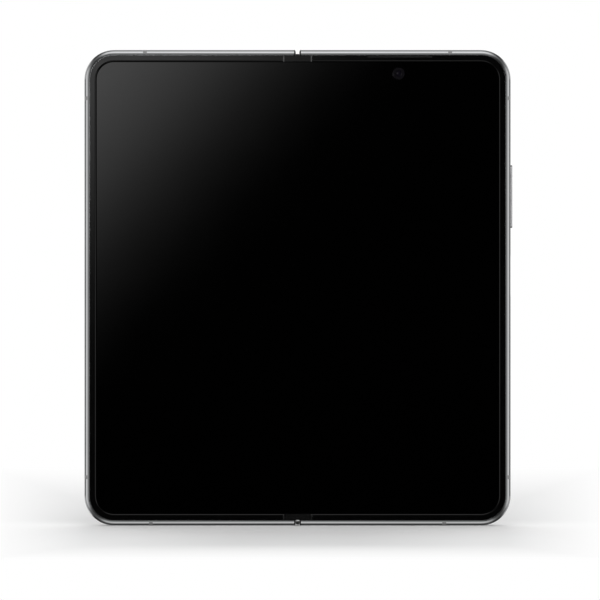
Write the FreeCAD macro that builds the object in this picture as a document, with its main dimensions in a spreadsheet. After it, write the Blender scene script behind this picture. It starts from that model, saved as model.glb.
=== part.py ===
"""A book-style foldable smartphone, open flat and standing on its lower edge.

X runs to the right as the main screen is seen, Y runs away from the viewer and Z is up. The sketches
measure X from the fold's centre line, depth from the front of the bezel and Z from mid-height.
Both fold axes lie on the screen's surface, one for each half, so the halves close face to face.
"""
import math
import os
from types import SimpleNamespace

import FreeCAD
import Part
import Sketcher

doc = FreeCAD.newDocument("foldable_smartphone")
sheet = doc.addObject("Spreadsheet::Sheet", "Sizes")
size = SimpleNamespace()
parts = {}

FRONT = "XZ_Plane"   # sketched in X and Z, extruded away from the viewer
ALONG = "XY_Plane"   # sketched in X and depth, extruded upwards
SIDE = "YZ_Plane"    # sketched in depth and Z, extruded to the right
LEFT, RIGHT = -1, 1
MATCH_TOLERANCE = 1e-4
CUT_TOLERANCE_SHARE = 1e-9


# Sizes and their expressions

class Dim:
    """A size that carries both its value and the expression that it comes from."""

    def __init__(self, value, text):
        self.value = value
        self.text = text

    def __add__(self, other):
        other = dim(other)
        return Dim(self.value + other.value, f"({self.text} + {other.text})")

    def __sub__(self, other):
        other = dim(other)
        return Dim(self.value - other.value, f"({self.text} - {other.text})")

    def __mul__(self, other):
        other = dim(other)
        return Dim(self.value * other.value, f"({self.text} * {other.text})")

    def __truediv__(self, other):
        other = dim(other)
        return Dim(self.value / other.value, f"({self.text} / {other.text})")

    def __neg__(self):
        return Dim(-self.value, f"(-1 * {self.text})")

    __radd__ = __add__
    __rmul__ = __mul__


def dim(number):
    if isinstance(number, Dim):
        return number
    return Dim(float(number), f"({number})")


def sizes(**values):
    """Write named sizes to the sheet, and read them back for the sketches."""
    for alias, value in values.items():
        row = len(vars(size)) + 1
        sheet.set(f"A{row}", alias)
        sheet.set(f"B{row}", str(value))
        sheet.setAlias(f"B{row}", alias)
        setattr(size, alias, None)
    doc.recompute()
    for alias in values:
        setattr(size, alias, Dim(float(sheet.get(alias)), f"Sizes.{alias}"))


def bind(thing, name, amount):
    thing.setExpression(name, dim(amount).text)


# Sketch outlines

def pin_point(sketch, edge, end, x=None, y=None):
    """Hold one point of a sketch at bound distances from its origin."""
    for kind, amount in (("DistanceX", x), ("DistanceY", y)):
        if amount is None:
            continue
        amount = dim(amount)
        number = sketch.addConstraint(Sketcher.Constraint(kind, -1, 1, edge, end, amount.value))
        bind(sketch, f"Constraints[{number}]", amount)


def set_radius(sketch, edge, radius):
    number = sketch.addConstraint(Sketcher.Constraint("Radius", edge, radius.value))
    bind(sketch, f"Constraints[{number}]", radius)


def circle(x, y, radius):
    x, y, radius = dim(x), dim(y), dim(radius)

    def draw(sketch):
        centre = FreeCAD.Vector(x.value, y.value, 0)
        edge = sketch.addGeometry(Part.Circle(centre, FreeCAD.Vector(0, 0, 1), radius.value))
        pin_point(sketch, edge, 3, x, y)
        set_radius(sketch, edge, radius)
    return draw


def polygon(points):
    points = [(dim(x), dim(y)) for x, y in points]

    def draw(sketch):
        spots = [FreeCAD.Vector(x.value, y.value, 0) for x, y in points]
        ends = spots[1:] + spots[:1]
        edges = sketch.addGeometry([Part.LineSegment(a, b) for a, b in zip(spots, ends)])
        for place, edge in enumerate(edges):
            following = edges[(place + 1) % len(edges)]
            sketch.addConstraint(Sketcher.Constraint("Coincident", edge, 2, following, 1))
            pin_point(sketch, edge, 1, *points[place])
    return draw


def outline(corners):
    """A closed outline of upright and level edges; each corner is (x, y, radius), radius 0 when sharp."""
    corners = [tuple(dim(part) for part in corner) for corner in corners]
    spots = [FreeCAD.Vector(x.value, y.value, 0) for x, y, _ in corners]
    count = len(corners)

    def draw(sketch):
        ways = [(spots[(i + 1) % count] - spots[i]).normalize() for i in range(count)]
        edges = []
        for i in range(count):
            first = spots[i] + ways[i] * corners[i][2].value
            last = spots[(i + 1) % count] - ways[i] * corners[(i + 1) % count][2].value
            edges.append(sketch.addGeometry(Part.LineSegment(first, last)))
        for i in range(count):
            before, after = edges[i - 1], edges[i]
            radius = corners[i][2]
            if radius.value == 0:
                sketch.addConstraint(Sketcher.Constraint("Coincident", before, 2, after, 1))
                continue
            centre = spots[i] + (ways[i] - ways[i - 1]) * radius.value
            start, end = -ways[i], ways[i - 1]
            left_turn = ways[i - 1].cross(ways[i]).z > 0
            if not left_turn:
                start, end = end, start
            angles = [math.atan2(way.y, way.x) for way in (start, end)]
            round_part = Part.Circle(centre, FreeCAD.Vector(0, 0, 1), radius.value)
            arc = sketch.addGeometry(Part.ArcOfCircle(round_part, *angles))
            first_end, last_end = (1, 2) if left_turn else (2, 1)
            sketch.addConstraint(Sketcher.Constraint("Tangent", before, 2, arc, first_end))
            sketch.addConstraint(Sketcher.Constraint("Tangent", arc, last_end, after, 1))
            set_radius(sketch, arc, radius)
        for i in range(count):
            x, y, _ = corners[i]
            if abs(ways[i].x) > abs(ways[i].y):
                sketch.addConstraint(Sketcher.Constraint("Horizontal", edges[i]))
                pin_point(sketch, edges[i], 1, y=y)
            else:
                sketch.addConstraint(Sketcher.Constraint("Vertical", edges[i]))
                pin_point(sketch, edges[i], 1, x=x)
    return draw


def rectangle(x0, y0, x1, y1, radius=0):
    return outline([(x0, y0, radius), (x1, y0, radius), (x1, y1, radius), (x0, y1, radius)])


def slab(x, y, width, height, radius=0):
    """A rectangle given by its centre."""
    return rectangle(x - width / 2, y - height / 2, x + width / 2, y + height / 2, radius)


# Bodies

def place(thing, x=0, depth=0, z=0):
    bind(thing, "Placement.Base.x", x)
    bind(thing, "Placement.Base.y", depth - size.thickness / 2)
    bind(thing, "Placement.Base.z", z + size.device_height / 2)


class Piece:
    """A PartDesign body, built up from pads and pockets that start at a bound distance."""

    def __init__(self, label, x=0, depth=0, z=0, kept=True):
        self.label = label
        self.body = doc.addObject("PartDesign::Body", label)
        self.body.Label = label
        place(self.body, dim(x), dim(depth), dim(z))
        if kept:
            parts[label] = self.body

    def origin(self, role):
        return next(item for item in self.body.Origin.OriginFeatures if item.Role == role)

    def sketch(self, plane, start, loops):
        made = self.body.newObject("Sketcher::SketchObject", f"{self.label}_sketch")
        made.AttachmentSupport = [(self.origin(plane), "")]
        made.MapMode = "FlatFace"
        bind(made, "AttachmentOffset.Base.z", -dim(start) if plane == FRONT else dim(start))
        for loop in loops:
            loop(made)
        return made

    def extrude(self, kind, plane, start, end, loops):
        made = self.body.newObject(f"PartDesign::{kind}", f"{self.label}_{kind.lower()}")
        made.Profile = self.sketch(plane, start, loops)
        bind(made, "Length", dim(end) - dim(start))
        made.Reversed = (kind == "Pad") == (plane == FRONT)
        doc.recompute()
        return made

    def pad(self, plane, start, end, *loops):
        return self.extrude("Pad", plane, start, end, loops)

    def pocket(self, plane, start, end, *loops):
        before = self.body.Shape.Volume
        made = self.extrude("Pocket", plane, start, end, loops)
        if self.body.Shape.Volume > before * (1 - CUT_TOLERANCE_SHARE):
            raise RuntimeError(f"{made.Name} cuts nothing")
        return made

    def dress(self, kind, amount, wanted):
        """Fillet or chamfer the edges whose vertices all answer to wanted(x, depth, z)."""
        tip = self.body.Tip
        shape = tip.Shape
        names = []
        for number, edge in enumerate(shape.Edges, 1):
            middle = edge.valueAt((edge.FirstParameter + edge.LastParameter) / 2)
            if all(wanted(spot.x, spot.y, spot.z) for spot in [v.Point for v in edge.Vertexes] + [middle]):
                names.append(f"Edge{number}")
        made = self.body.newObject(f"PartDesign::{kind}", f"{self.label}_{kind.lower()}")
        made.Base = (tip, names)
        bind(made, "Radius" if kind == "Fillet" else "Size", amount)
        doc.recompute()
        return made

    def ring_of(self, feature, count):
        made = self.body.newObject("PartDesign::PolarPattern", f"{self.label}_ring")
        made.Originals = [feature]
        made.Axis = (self.origin("Z_Axis"), [""])
        made.Angle = 360
        made.Occurrences = count
        self.body.Tip = made
        doc.recompute()


def near(a, b):
    return abs(a - dim(b).value) < MATCH_TOLERANCE


def both_ends(label, piece):
    """Group an upper piece with its mirror image at the lower end of the hinge."""
    lower = doc.addObject("Part::Mirroring", f"{label}_lower")
    lower.Source = piece.body
    lower.Normal = FreeCAD.Vector(0, 0, 1)
    bind(lower, "Base.z", size.device_height / 2)
    group = doc.addObject("Part::Compound", label)
    group.Label = label
    group.Links = [piece.body, lower]
    parts[label] = group


def cut_by(label, kind, base, tool):
    made = doc.addObject(f"Part::{kind}", label)
    made.Label = label
    made.Base = base
    made.Tool = tool
    parts[label] = made


# Driving sizes of the whole phone

sizes(
    device_height=160.0, device_width=143.4, thickness=6.3, corner_radius=10.0,
    rim_width=1.85, rim_setback=0.2, edge_round=1.8, side_wall=2.6,
    bezel_width=2.12, display_recess=0.5, panel_thickness=0.7, panel_inset=2.3,
    plate_thickness=0.7, wing_thickness=0.3, glass_thickness=0.6, glass_inset=1.3,
    hinge_gap=1.24, closed_gap=0.3, lip_thickness=0.7, lip_width=2.6,
    fit_gap=0.05, overrun=1.0,
)
# Driving sizes: hinge
sizes(
    trough_gap=0.15, spine_wall=0.5, spine_end_gap=0.15, wing_gap=0.15, wing_inner=0.75,
    cap_half_width=4.8, cap_gap=0.15, cap_round=0.3, strip_half_width=1.2, sheet_gap=0.02,
    rail_inner=2.9, rail_outer=3.7, rail_run_gap=0.06, rail_width=5.0, rail_tail_angle=66.0,
    module_start=40.5, module_wall=0.7, gear_width=2.5, arm_width=2.5, washer_room=4.5, ear_length=3.0,
    ear_top=2.6, ear_thickness=0.75, neck_thickness=0.8, foot_length=4.0, foot_margin=2.0, foot_slack=0.1,
    gear_teeth=12, gear_module=0.15, gear_depth=2.7, shaft_radius=0.5, journal_radius=0.35,
    journal_gap=0.03, gear_room=0.06, hub_radius=0.95, arm_top=1.85, arm_thickness=0.5, arm_reach=8.3,
    arm_drop=0.95, arm_tip_room=0.6, block_edge=12.2, window_share=0.87,
    screw_radius=0.5, screw_head_radius=0.95, screw_head=0.35, screw_gap=0.04, screw_length=2.2,
    boss_radius=1.3,
)
# Driving sizes: frames
sizes(
    antenna_width=1.3, antenna_depth=1.2, antenna_top_x=51.3, antenna_bottom_x=49.3, antenna_side_z=63.7,
    end_slope_run=0.25, end_slope_rise=0.8, end_bevel_width=0.5, end_bevel_depth=0.9, cavity_corner=1.5,
)
# Driving sizes: bezels and screen
sizes(bezel_round=0.45, slit_left=23.4, slit_right=45.3, slit_height=0.5, slit_inset=2.15, mesh_depth=0.3,
      inner_camera_x=34.1, inner_camera_drop=7.85, inner_camera_radius=2.0)
# Driving sizes: gears
sizes(tooth_tip_share=0.22, tooth_root_share=0.62, addendum_share=0.9, dedendum_share=1.2)
# Driving sizes: washers
sizes(washer_count=4, washer_gap=0.2, washer_hole_gap=0.06)
# Driving sizes: rear covers and camera island
sizes(glass_gap=0.05, glass_round=0.3, island_side=17.7, island_drop=32.0, island_width=23.0,
      island_height=52.0, island_corner=9.0, island_bump=1.5, island_round=0.6, island_flange=0.8,
      flange_thickness=0.4,
      lens_spacing=16.6, lens_radius=6.3, lens_seat=0.5, lens_hole=4.8, lens_lip=0.6, lens_proud=0.3,
      flash_radius=1.5, flash_x_offset=8.6, flash_z_offset=8.3, flash_depth=0.6)
# Driving sizes: camera modules
sizes(camera_box=11.0, camera_box_back=5.0, camera_barrel=4.5, camera_corner=0.8)
# Driving sizes: batteries and cover screen
sizes(battery_round=0.8, battery_corner=2.0, battery_margin=2.0, swell_gap=0.3,
      cover_screen_thickness=0.8, cover_screen_margin=0.6, cover_camera_drop=8.0,
      cover_camera_radius=2.0)
# Driving sizes: boards
sizes(small_camera_box=6.0, board_gap=0.6, board_thickness=0.7, board_boss=1.5)
# Driving sizes: board layout
sizes(board_margin=2.5, board_drop=16.0, left_board_height=18.0,
      charge_rise=11.0, charge_board_height=7.5,
      boss_inset=2.5, can_height=1.4, can_wall=0.25, can_gap=2.0, can_split_share=0.55)
# Driving sizes: charging socket
sizes(usb_width=8.94, usb_height=3.2, usb_length=7.2, usb_wall=0.3, tongue_width=6.7,
      tongue_thickness=0.7, tongue_length=4.6, usb_floor=1.0, usb_setback=0.1)
# Driving sizes: speakers, receiver and motor
sizes(grille_radius=0.55, grille_pitch=2.1, grille_count=6, grille_offset=18.0,
      mic_offset=8.0, mic_radius=0.4,
      speaker_width=17.0, speaker_height=8.0, speaker_back=5.0, speaker_corner=1.0,
      motor_offset=15.0, motor_width=11.0, motor_height=7.0, motor_back=4.6, top_speaker_offset=13.0,
      receiver_gap=1.0, receiver_width=7.0, receiver_height=9.0, receiver_back=4.4, wall_clear=0.2)
# Driving sizes: keys
sizes(volume_z=30.7, volume_length=21.05, volume_proud=0.63, key_width=2.2, key_gap=0.18, key_round=0.3,
      key_flange=0.8, key_flange_thickness=0.5, key_rock_room=0.3, fulcrum_radius=0.35,
      power_z=4.0, power_length=14.6, power_width=2.4, power_recess=0.2, power_margin=0.5,
      switch_board_thickness=0.5, switch_margin=3.0, dome_radius=0.9, dome_gap=0.35, dome_share=0.3)
# Driving sizes: card tray
sizes(tray_rise=26.0, tray_face_length=15.0, tray_face_width=1.6, tray_face_thickness=1.0, tray_gap=0.08,
      tray_width=12.6, tray_thickness=0.9, tray_length=16.0, card_pocket_width=8.8, card_pocket_length=12.3,
      card_pocket_depth=0.67, card_lip=1.0, eject_hole_radius=0.4, eject_offset=5.6,
      reader_wall=0.4, reader_gap=0.15)

# Derived sizes
half_height = size.device_height / 2
half_width = size.device_width / 2
half_gap = size.hinge_gap / 2
axis_x = size.display_recess + size.closed_gap / 2
axis_depth = size.display_recess
panel_back = size.display_recess + size.panel_thickness
plate_back = panel_back + size.plate_thickness
wing_back = panel_back + size.wing_thickness
rear_rim = size.thickness - size.rim_setback
glass_seat = size.thickness - size.glass_thickness
mid_depth = size.thickness / 2
wall_inside = half_width - size.side_wall
trough_radius = rear_rim - size.lip_thickness - axis_depth
screen_edge = size.rim_width + size.bezel_width
half_centre = (half_gap + half_width) / 2
spine_radius = trough_radius - size.trough_gap
spine_bore = spine_radius - size.spine_wall
spine_edge = wing_back + size.wing_gap
spine_half = half_height - size.rim_width - size.spine_end_gap
screen_half_height = half_height - screen_edge
base_radius = spine_bore - size.fit_gap
cap_room = size.cap_half_width + size.cap_gap
neck_back = wing_back + size.neck_thickness
pitch_radius = size.gear_module * size.gear_teeth / 2
shaft_x = pitch_radius * 3
idler_x = pitch_radius

# The hinge module's stations along Z, from the middle of the phone outwards
left_rail_z = size.module_start
right_rail_z = left_rail_z + size.rail_width + size.module_wall
gear_z = right_rail_z + size.rail_width + size.module_wall
arm_z = gear_z + size.gear_width + size.module_wall
washer_z = arm_z + size.arm_width + size.module_wall
washer_end = washer_z + size.washer_room
shaft_start = gear_z - size.module_wall / 2
shaft_end = washer_end + size.module_wall / 2
base_start = left_rail_z - size.module_wall - size.ear_length
base_end = washer_end + size.module_wall + size.ear_length
rail_z = {LEFT: left_rail_z, RIGHT: right_rail_z}
screw_places = [base_start + size.ear_length / 2, base_end - size.ear_length / 2]


def half_outline(side, inset, inner):
    """The outline of one half, square at the fold and rounded at the two outer corners."""
    x_out = side * (half_width - inset)
    x_in = side * dim(inner)
    z = half_height - inset
    radius = size.corner_radius - inset
    return outline([(x_in, -z, 0), (x_out, -z, radius), (x_out, z, radius), (x_in, z, 0)])


def half_band(side, outer_inset, inner_inset, inner):
    """A band round the three outer sides of one half, open towards the fold."""
    x_in = side * inner
    x_out, x_mid = side * (half_width - outer_inset), side * (half_width - inner_inset)
    z_out, z_mid = half_height - outer_inset, half_height - inner_inset
    r_out, r_mid = size.corner_radius - outer_inset, size.corner_radius - inner_inset
    return outline([
        (x_in, -z_out, 0), (x_out, -z_out, r_out), (x_out, z_out, r_out), (x_in, z_out, 0),
        (x_in, z_mid, 0), (x_mid, z_mid, r_mid), (x_mid, -z_mid, r_mid), (x_in, -z_mid, 0),
    ])


def mirrored_spans(start, end):
    """A span along Z and its mirror image below mid-height."""
    return [(start, end), (-end, -start)]


# Frames: one milled tray for each half


def antenna_slabs(side):
    x, width = side * size.antenna_top_x, size.antenna_width / 2
    x_low = side * size.antenna_bottom_x
    inside, outside = half_width - size.antenna_depth, half_width + size.overrun
    low, high = half_height - size.antenna_depth, half_height + size.overrun
    loops = [rectangle(x - width, low, x + width, high),
             rectangle(x_low - width, -high, x_low + width, -low)]
    for z in (size.antenna_side_z, -size.antenna_side_z):
        loops.append(rectangle(side * inside, z - width, side * outside, z + width))
    return loops


def frame_form(label, side, kept):
    """The outer form of a half: its outline, rounded edges and sloped ends at the fold."""
    form = Piece(label, kept=kept)
    form.pad(FRONT, size.rim_setback, rear_rim, half_outline(side, dim(0), half_gap))

    def rim_edge(x, depth, z):
        level = near(depth, size.rim_setback) or near(depth, rear_rim)
        outside = near(abs(z), half_height) or abs(x) > half_width.value - size.corner_radius.value
        return level and outside

    form.dress("Fillet", size.edge_round, rim_edge)
    run, rise, spare = size.end_slope_run, size.end_slope_rise, size.overrun
    for up in (1, -1):
        form.pocket(FRONT, -spare, size.thickness + spare, polygon([
            (side * (half_gap - spare), up * (half_height - rise)),
            (side * half_gap, up * (half_height - rise)),
            (side * (half_gap + run), up * half_height),
            (side * (half_gap + run), up * (half_height + spare)),
            (side * (half_gap - spare), up * (half_height + spare)),
        ]))
    # A bevel along the front of each end, beside the gap of the fold
    bevel_back = size.rim_setback + size.end_bevel_depth
    form.pocket(ALONG, -(half_height + spare), half_height + spare, polygon([
        (side * (half_gap - spare), size.rim_setback - spare),
        (side * (half_gap + size.end_bevel_width), size.rim_setback - spare),
        (side * (half_gap + size.end_bevel_width), size.rim_setback),
        (side * half_gap, bevel_back),
        (side * (half_gap - spare), bevel_back),
    ]))
    return form


def build_frame(label, side):
    frame = frame_form(label, side, True)
    # The screen's recess, the trough for the hinge spine, the inner cavity and the seat of the rear cover
    frame.pocket(FRONT, 0, panel_back, half_outline(side, size.rim_width, 0))
    trough_half = spine_half + size.spine_end_gap
    frame.pocket(ALONG, -trough_half, trough_half, circle(side * axis_x, axis_depth, trough_radius))
    x_out, z = side * wall_inside, half_height - size.side_wall
    radius, small = size.corner_radius - size.side_wall, size.cavity_corner
    frame.pocket(FRONT, plate_back, size.thickness, outline([
        (side * size.block_edge, -z, small), (x_out, -z, radius), (x_out, z, radius),
        (side * size.block_edge, z, small)]))
    frame.pocket(FRONT, glass_seat, size.thickness, half_outline(side, size.glass_inset, size.lip_width))
    # Pockets for the rotor feet, open to the screen side, and guide slots for the synchronising arms
    foot_in, foot_out = axis_x, foot_end + size.foot_slack
    low = rail_z[side] - size.foot_margin - size.foot_slack
    high = rail_z[side] + size.rail_width + size.foot_margin + size.foot_slack
    arm_low, arm_high = arm_z - size.foot_slack, arm_z + size.arm_width + size.foot_slack
    slot_end = shaft_x + size.arm_reach + size.arm_tip_room
    for z0, z1 in mirrored_spans(low, high):
        frame.pocket(FRONT, 0, neck_back, rectangle(side * foot_in, z0, side * foot_out, z1))
    for z0, z1 in mirrored_spans(arm_low, arm_high):
        frame.pocket(ALONG, z0, z1, rectangle(
            side * axis_x, wing_back, side * slot_end, size.arm_top + size.arm_thickness + size.arm_drop))
    for z in rotor_screw_places(side):
        frame.pocket(FRONT, 0, panel_back + size.screw_head + size.screw_length + size.screw_gap,
                     circle(side * rotor_screw_x, z, size.screw_radius + size.screw_gap))
    frame.pocket(FRONT, 0, size.thickness, *antenna_slabs(side))
    return frame


foot_start = axis_x + trough_radius
foot_end = foot_start + size.foot_length
rotor_screw_x = foot_start + size.foot_length / 2


def rotor_screw_places(side):
    low, high = rail_z[side], rail_z[side] + size.rail_width
    return [low, high, -low, -high]


left_frame = build_frame("left_frame", LEFT)
right_frame = build_frame("right_frame", RIGHT)


# Antenna strips fill the slots flush with the frame

def build_antennas(label, side):
    form = frame_form(f"{label}_form", side, False)
    bars = Piece(f"{label}_bars", kept=False)
    for loop in antenna_slabs(side):
        bars.pad(FRONT, 0, size.thickness, loop)
    cut_by(label, "Common", form.body, bars.body)


build_antennas("left_antenna_strips", LEFT)
build_antennas("right_antenna_strips", RIGHT)


# Bezels, screen panels and wing plates

slit_z = half_height - size.slit_inset - size.slit_height / 2
inner_camera_z = half_height - size.inner_camera_drop


def build_bezel(label, side):
    bezel = Piece(label)
    outside = size.rim_width + size.fit_gap
    bezel.pad(FRONT, 0, size.display_recess, half_band(side, outside, screen_edge, cap_room))
    bezel.pad(FRONT, size.display_recess, panel_back,
              half_band(side, outside, size.panel_inset - size.fit_gap, cap_room))

    def inner_front(x, depth, z):
        level = near(abs(z), screen_half_height)
        within = abs(z) < screen_half_height.value and abs(x) < half_width.value - screen_edge.value
        upright = near(abs(x), half_width - screen_edge) and abs(z) < screen_half_height.value
        return near(depth, 0) and (level or upright or within and not near(abs(x), cap_room))

    bezel.dress("Fillet", size.bezel_round, inner_front)
    return bezel


left_bezel = build_bezel("left_bezel", LEFT)
right_bezel = build_bezel("right_bezel", RIGHT)
slit_low, slit_high = slit_z - size.slit_height / 2, slit_z + size.slit_height / 2
right_bezel.pocket(FRONT, 0, size.display_recess,
                   rectangle(size.slit_left, slit_low, size.slit_right, slit_high))

mesh = Piece("earpiece_mesh")
mesh_gap = size.fit_gap
mesh.pad(FRONT, size.mesh_depth, size.display_recess, rectangle(
    size.slit_left + mesh_gap, slit_low + mesh_gap, size.slit_right - mesh_gap, slit_high - mesh_gap))


def build_panel(label, side):
    panel = Piece(label)
    x_in, x_step = side * size.strip_half_width, side * (cap_room + size.fit_gap)
    x_out = side * (half_width - size.panel_inset)
    z_short, z_long = screen_half_height - size.fit_gap, half_height - size.panel_inset
    radius = size.corner_radius - size.panel_inset
    panel.pad(FRONT, size.display_recess, panel_back, outline([
        (x_in, -z_short, 0), (x_step, -z_short, 0), (x_step, -z_long, 0), (x_out, -z_long, radius),
        (x_out, z_long, radius), (x_step, z_long, 0), (x_step, z_short, 0), (x_in, z_short, 0)]))
    return panel


build_panel("left_display_panel", LEFT)
right_panel = build_panel("right_display_panel", RIGHT)
right_panel.pocket(FRONT, 0, panel_back, circle(
    size.inner_camera_x, inner_camera_z, size.inner_camera_radius + size.fit_gap))

strip = Piece("display_fold_strip")
strip_edge = size.strip_half_width - size.sheet_gap
strip_end = screen_half_height - size.fit_gap
strip.pad(FRONT, size.display_recess, panel_back, rectangle(-strip_edge, -strip_end, strip_edge, strip_end))

for label, side in (("left_wing_plate", LEFT), ("right_wing_plate", RIGHT)):
    wing = Piece(label)
    wing_outer = axis_x + trough_radius - size.trough_gap
    wing.pad(FRONT, panel_back, wing_back, rectangle(
        side * size.wing_inner, -strip_end, side * wing_outer, strip_end))


# Hinge spine: a curved cover with closed ends, and the fold caps seated on those ends

def spine_section(radius, top):
    """Two quarter rounds about the fold axes joined by a level bottom, cut level at the top."""
    radius, top = dim(radius), dim(top)

    def draw(sketch):
        rise = top.value - axis_depth.value
        reach = math.sqrt(radius.value ** 2 - rise ** 2)
        upright = FreeCAD.Vector(0, 0, 1)
        centres = [FreeCAD.Vector(s * axis_x.value, axis_depth.value, 0) for s in (RIGHT, LEFT)]
        start = math.atan2(rise, reach)
        rounds = [Part.Circle(centre, upright, radius.value) for centre in centres]
        right = Part.ArcOfCircle(rounds[0], start, math.pi / 2)
        left = Part.ArcOfCircle(rounds[1], math.pi / 2, math.pi - start)
        bottom = Part.LineSegment(right.EndPoint, left.StartPoint)
        lid = Part.LineSegment(left.EndPoint, right.StartPoint)
        r, b, l, t = sketch.addGeometry([right, bottom, left, lid])
        pin_point(sketch, r, 3, axis_x, axis_depth)
        pin_point(sketch, l, 3, -axis_x, axis_depth)
        set_radius(sketch, r, radius)
        set_radius(sketch, l, radius)
        sketch.addConstraint(Sketcher.Constraint("Tangent", r, 2, b, 1))
        sketch.addConstraint(Sketcher.Constraint("Tangent", b, 2, l, 1))
        sketch.addConstraint(Sketcher.Constraint("Coincident", l, 2, t, 1))
        sketch.addConstraint(Sketcher.Constraint("Coincident", t, 2, r, 1))
        pin_point(sketch, t, 1, y=top)
        pin_point(sketch, t, 2, y=top)
    return draw


def arm_windows(piece, back, ends):
    """Let the rotor necks and the synchronising arms pass over the edges of a spine piece."""
    slack = size.foot_slack
    wide = axis_x + trough_radius
    for side in (LEFT, RIGHT):
        spans = mirrored_spans(rail_z[side] - slack, rail_z[side] + size.rail_width + slack)[:ends]
        spans += mirrored_spans(arm_z - slack, arm_z + size.arm_width + slack)[:ends]
        for low, high in spans:
            piece.pocket(FRONT, 0, back, rectangle(side * neck_inner, low, side * wide, high))


neck_inner = axis_x + size.rail_inner * size.window_share
window_back = neck_back + size.foot_slack

spine = Piece("spine_cover")
spine.pad(ALONG, -spine_half, spine_half, spine_section(spine_radius, spine_edge))
spine.pocket(ALONG, -screen_half_height, screen_half_height,
             spine_section(spine_bore, axis_depth + size.fit_gap))
for z in screw_places:
    for place_z in (z, -z):
        spine.pad(FRONT, size.ear_top + size.ear_thickness, axis_depth + spine_bore + size.spine_wall / 2,
                  circle(0, place_z, size.boss_radius))
        spine.pocket(FRONT, size.ear_top, size.ear_top + size.screw_length + size.screw_gap,
                     circle(0, place_z, size.screw_radius + size.screw_gap))
arm_windows(spine, window_back, ends=2)

for label, up in (("top_fold_cap", 1), ("bottom_fold_cap", -1)):
    cap = Piece(label)
    inner, outer = up * screen_half_height, up * spine_half
    cap.pad(FRONT, 0, spine_edge, rectangle(-size.cap_half_width, inner, size.cap_half_width, outer))
    cap.dress("Fillet", size.cap_round,
              lambda x, depth, z: near(depth, 0) and near(abs(x), size.cap_half_width))


# Hinge bases: blocks with arc grooves for the rotors and bearings for the gears

def room_for(piece, start, end, radius):
    """A rounded trench round the shafts, open at the top of the base."""
    wide, back = shaft_x + radius, size.gear_depth + radius
    piece.pocket(ALONG, start, end, outline([
        (-wide, 0, 0), (wide, 0, 0), (wide, back, radius), (-wide, back, radius)]))


tip_radius = pitch_radius + size.gear_module * size.addendum_share
base = Piece("hinge_base_upper", kept=False)
base.pad(ALONG, base_start, base_end, spine_section(base_radius, spine_edge))
for side in (LEFT, RIGHT):
    gap = size.rail_run_gap
    base.pocket(ALONG, rail_z[side] - gap, rail_z[side] + size.rail_width + gap,
                circle(side * axis_x, axis_depth, size.rail_outer + gap),
                circle(side * axis_x, axis_depth, size.rail_inner - gap))
room_for(base, gear_z - size.gear_room, gear_z + size.gear_width + size.gear_room,
         tip_radius + size.gear_room)
room_for(base, arm_z - size.foot_slack, arm_z + size.arm_width + size.foot_slack,
         size.hub_radius + size.gear_room)
room_for(base, washer_z, washer_end, size.hub_radius + size.gear_room)
arm_windows(base, window_back, ends=1)
for side in (LEFT, RIGHT):
    base.pocket(ALONG, shaft_start, shaft_end,
                circle(side * shaft_x, size.gear_depth, size.shaft_radius + size.journal_gap))
    base.pocket(ALONG, shaft_start, arm_z - size.module_wall / 2,
                circle(side * idler_x, size.gear_depth, size.journal_radius + size.journal_gap))
for low, high in ((base_start, base_start + size.ear_length), (base_end - size.ear_length, base_end)):
    wide = base_radius + axis_x
    base.pocket(FRONT, 0, size.ear_top, rectangle(-wide, low, wide, high))
    base.pocket(FRONT, size.ear_top + size.ear_thickness, size.thickness, rectangle(-wide, low, wide, high))
    base.pocket(FRONT, size.ear_top, size.ear_top + size.ear_thickness,
                circle(0, (low + high) / 2, size.screw_radius + size.screw_gap))
both_ends("hinge_bases", base)


def screw(piece, x, z, seat):
    """A flat-headed screw whose head lies on its seat and whose shank runs away from the viewer."""
    piece.pad(FRONT, seat, seat + size.screw_length, circle(x, z, size.screw_radius))
    piece.pad(FRONT, seat - size.screw_head, seat, circle(x, z, size.screw_head_radius))


base_screws = Piece("hinge_base_screws")
for z in screw_places:
    for place_z in (z, -z):
        screw(base_screws, dim(0), place_z, size.ear_top)


# Rotors: an arc rail about the fold axis, a neck over the spine's edge and a screwed foot

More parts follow.
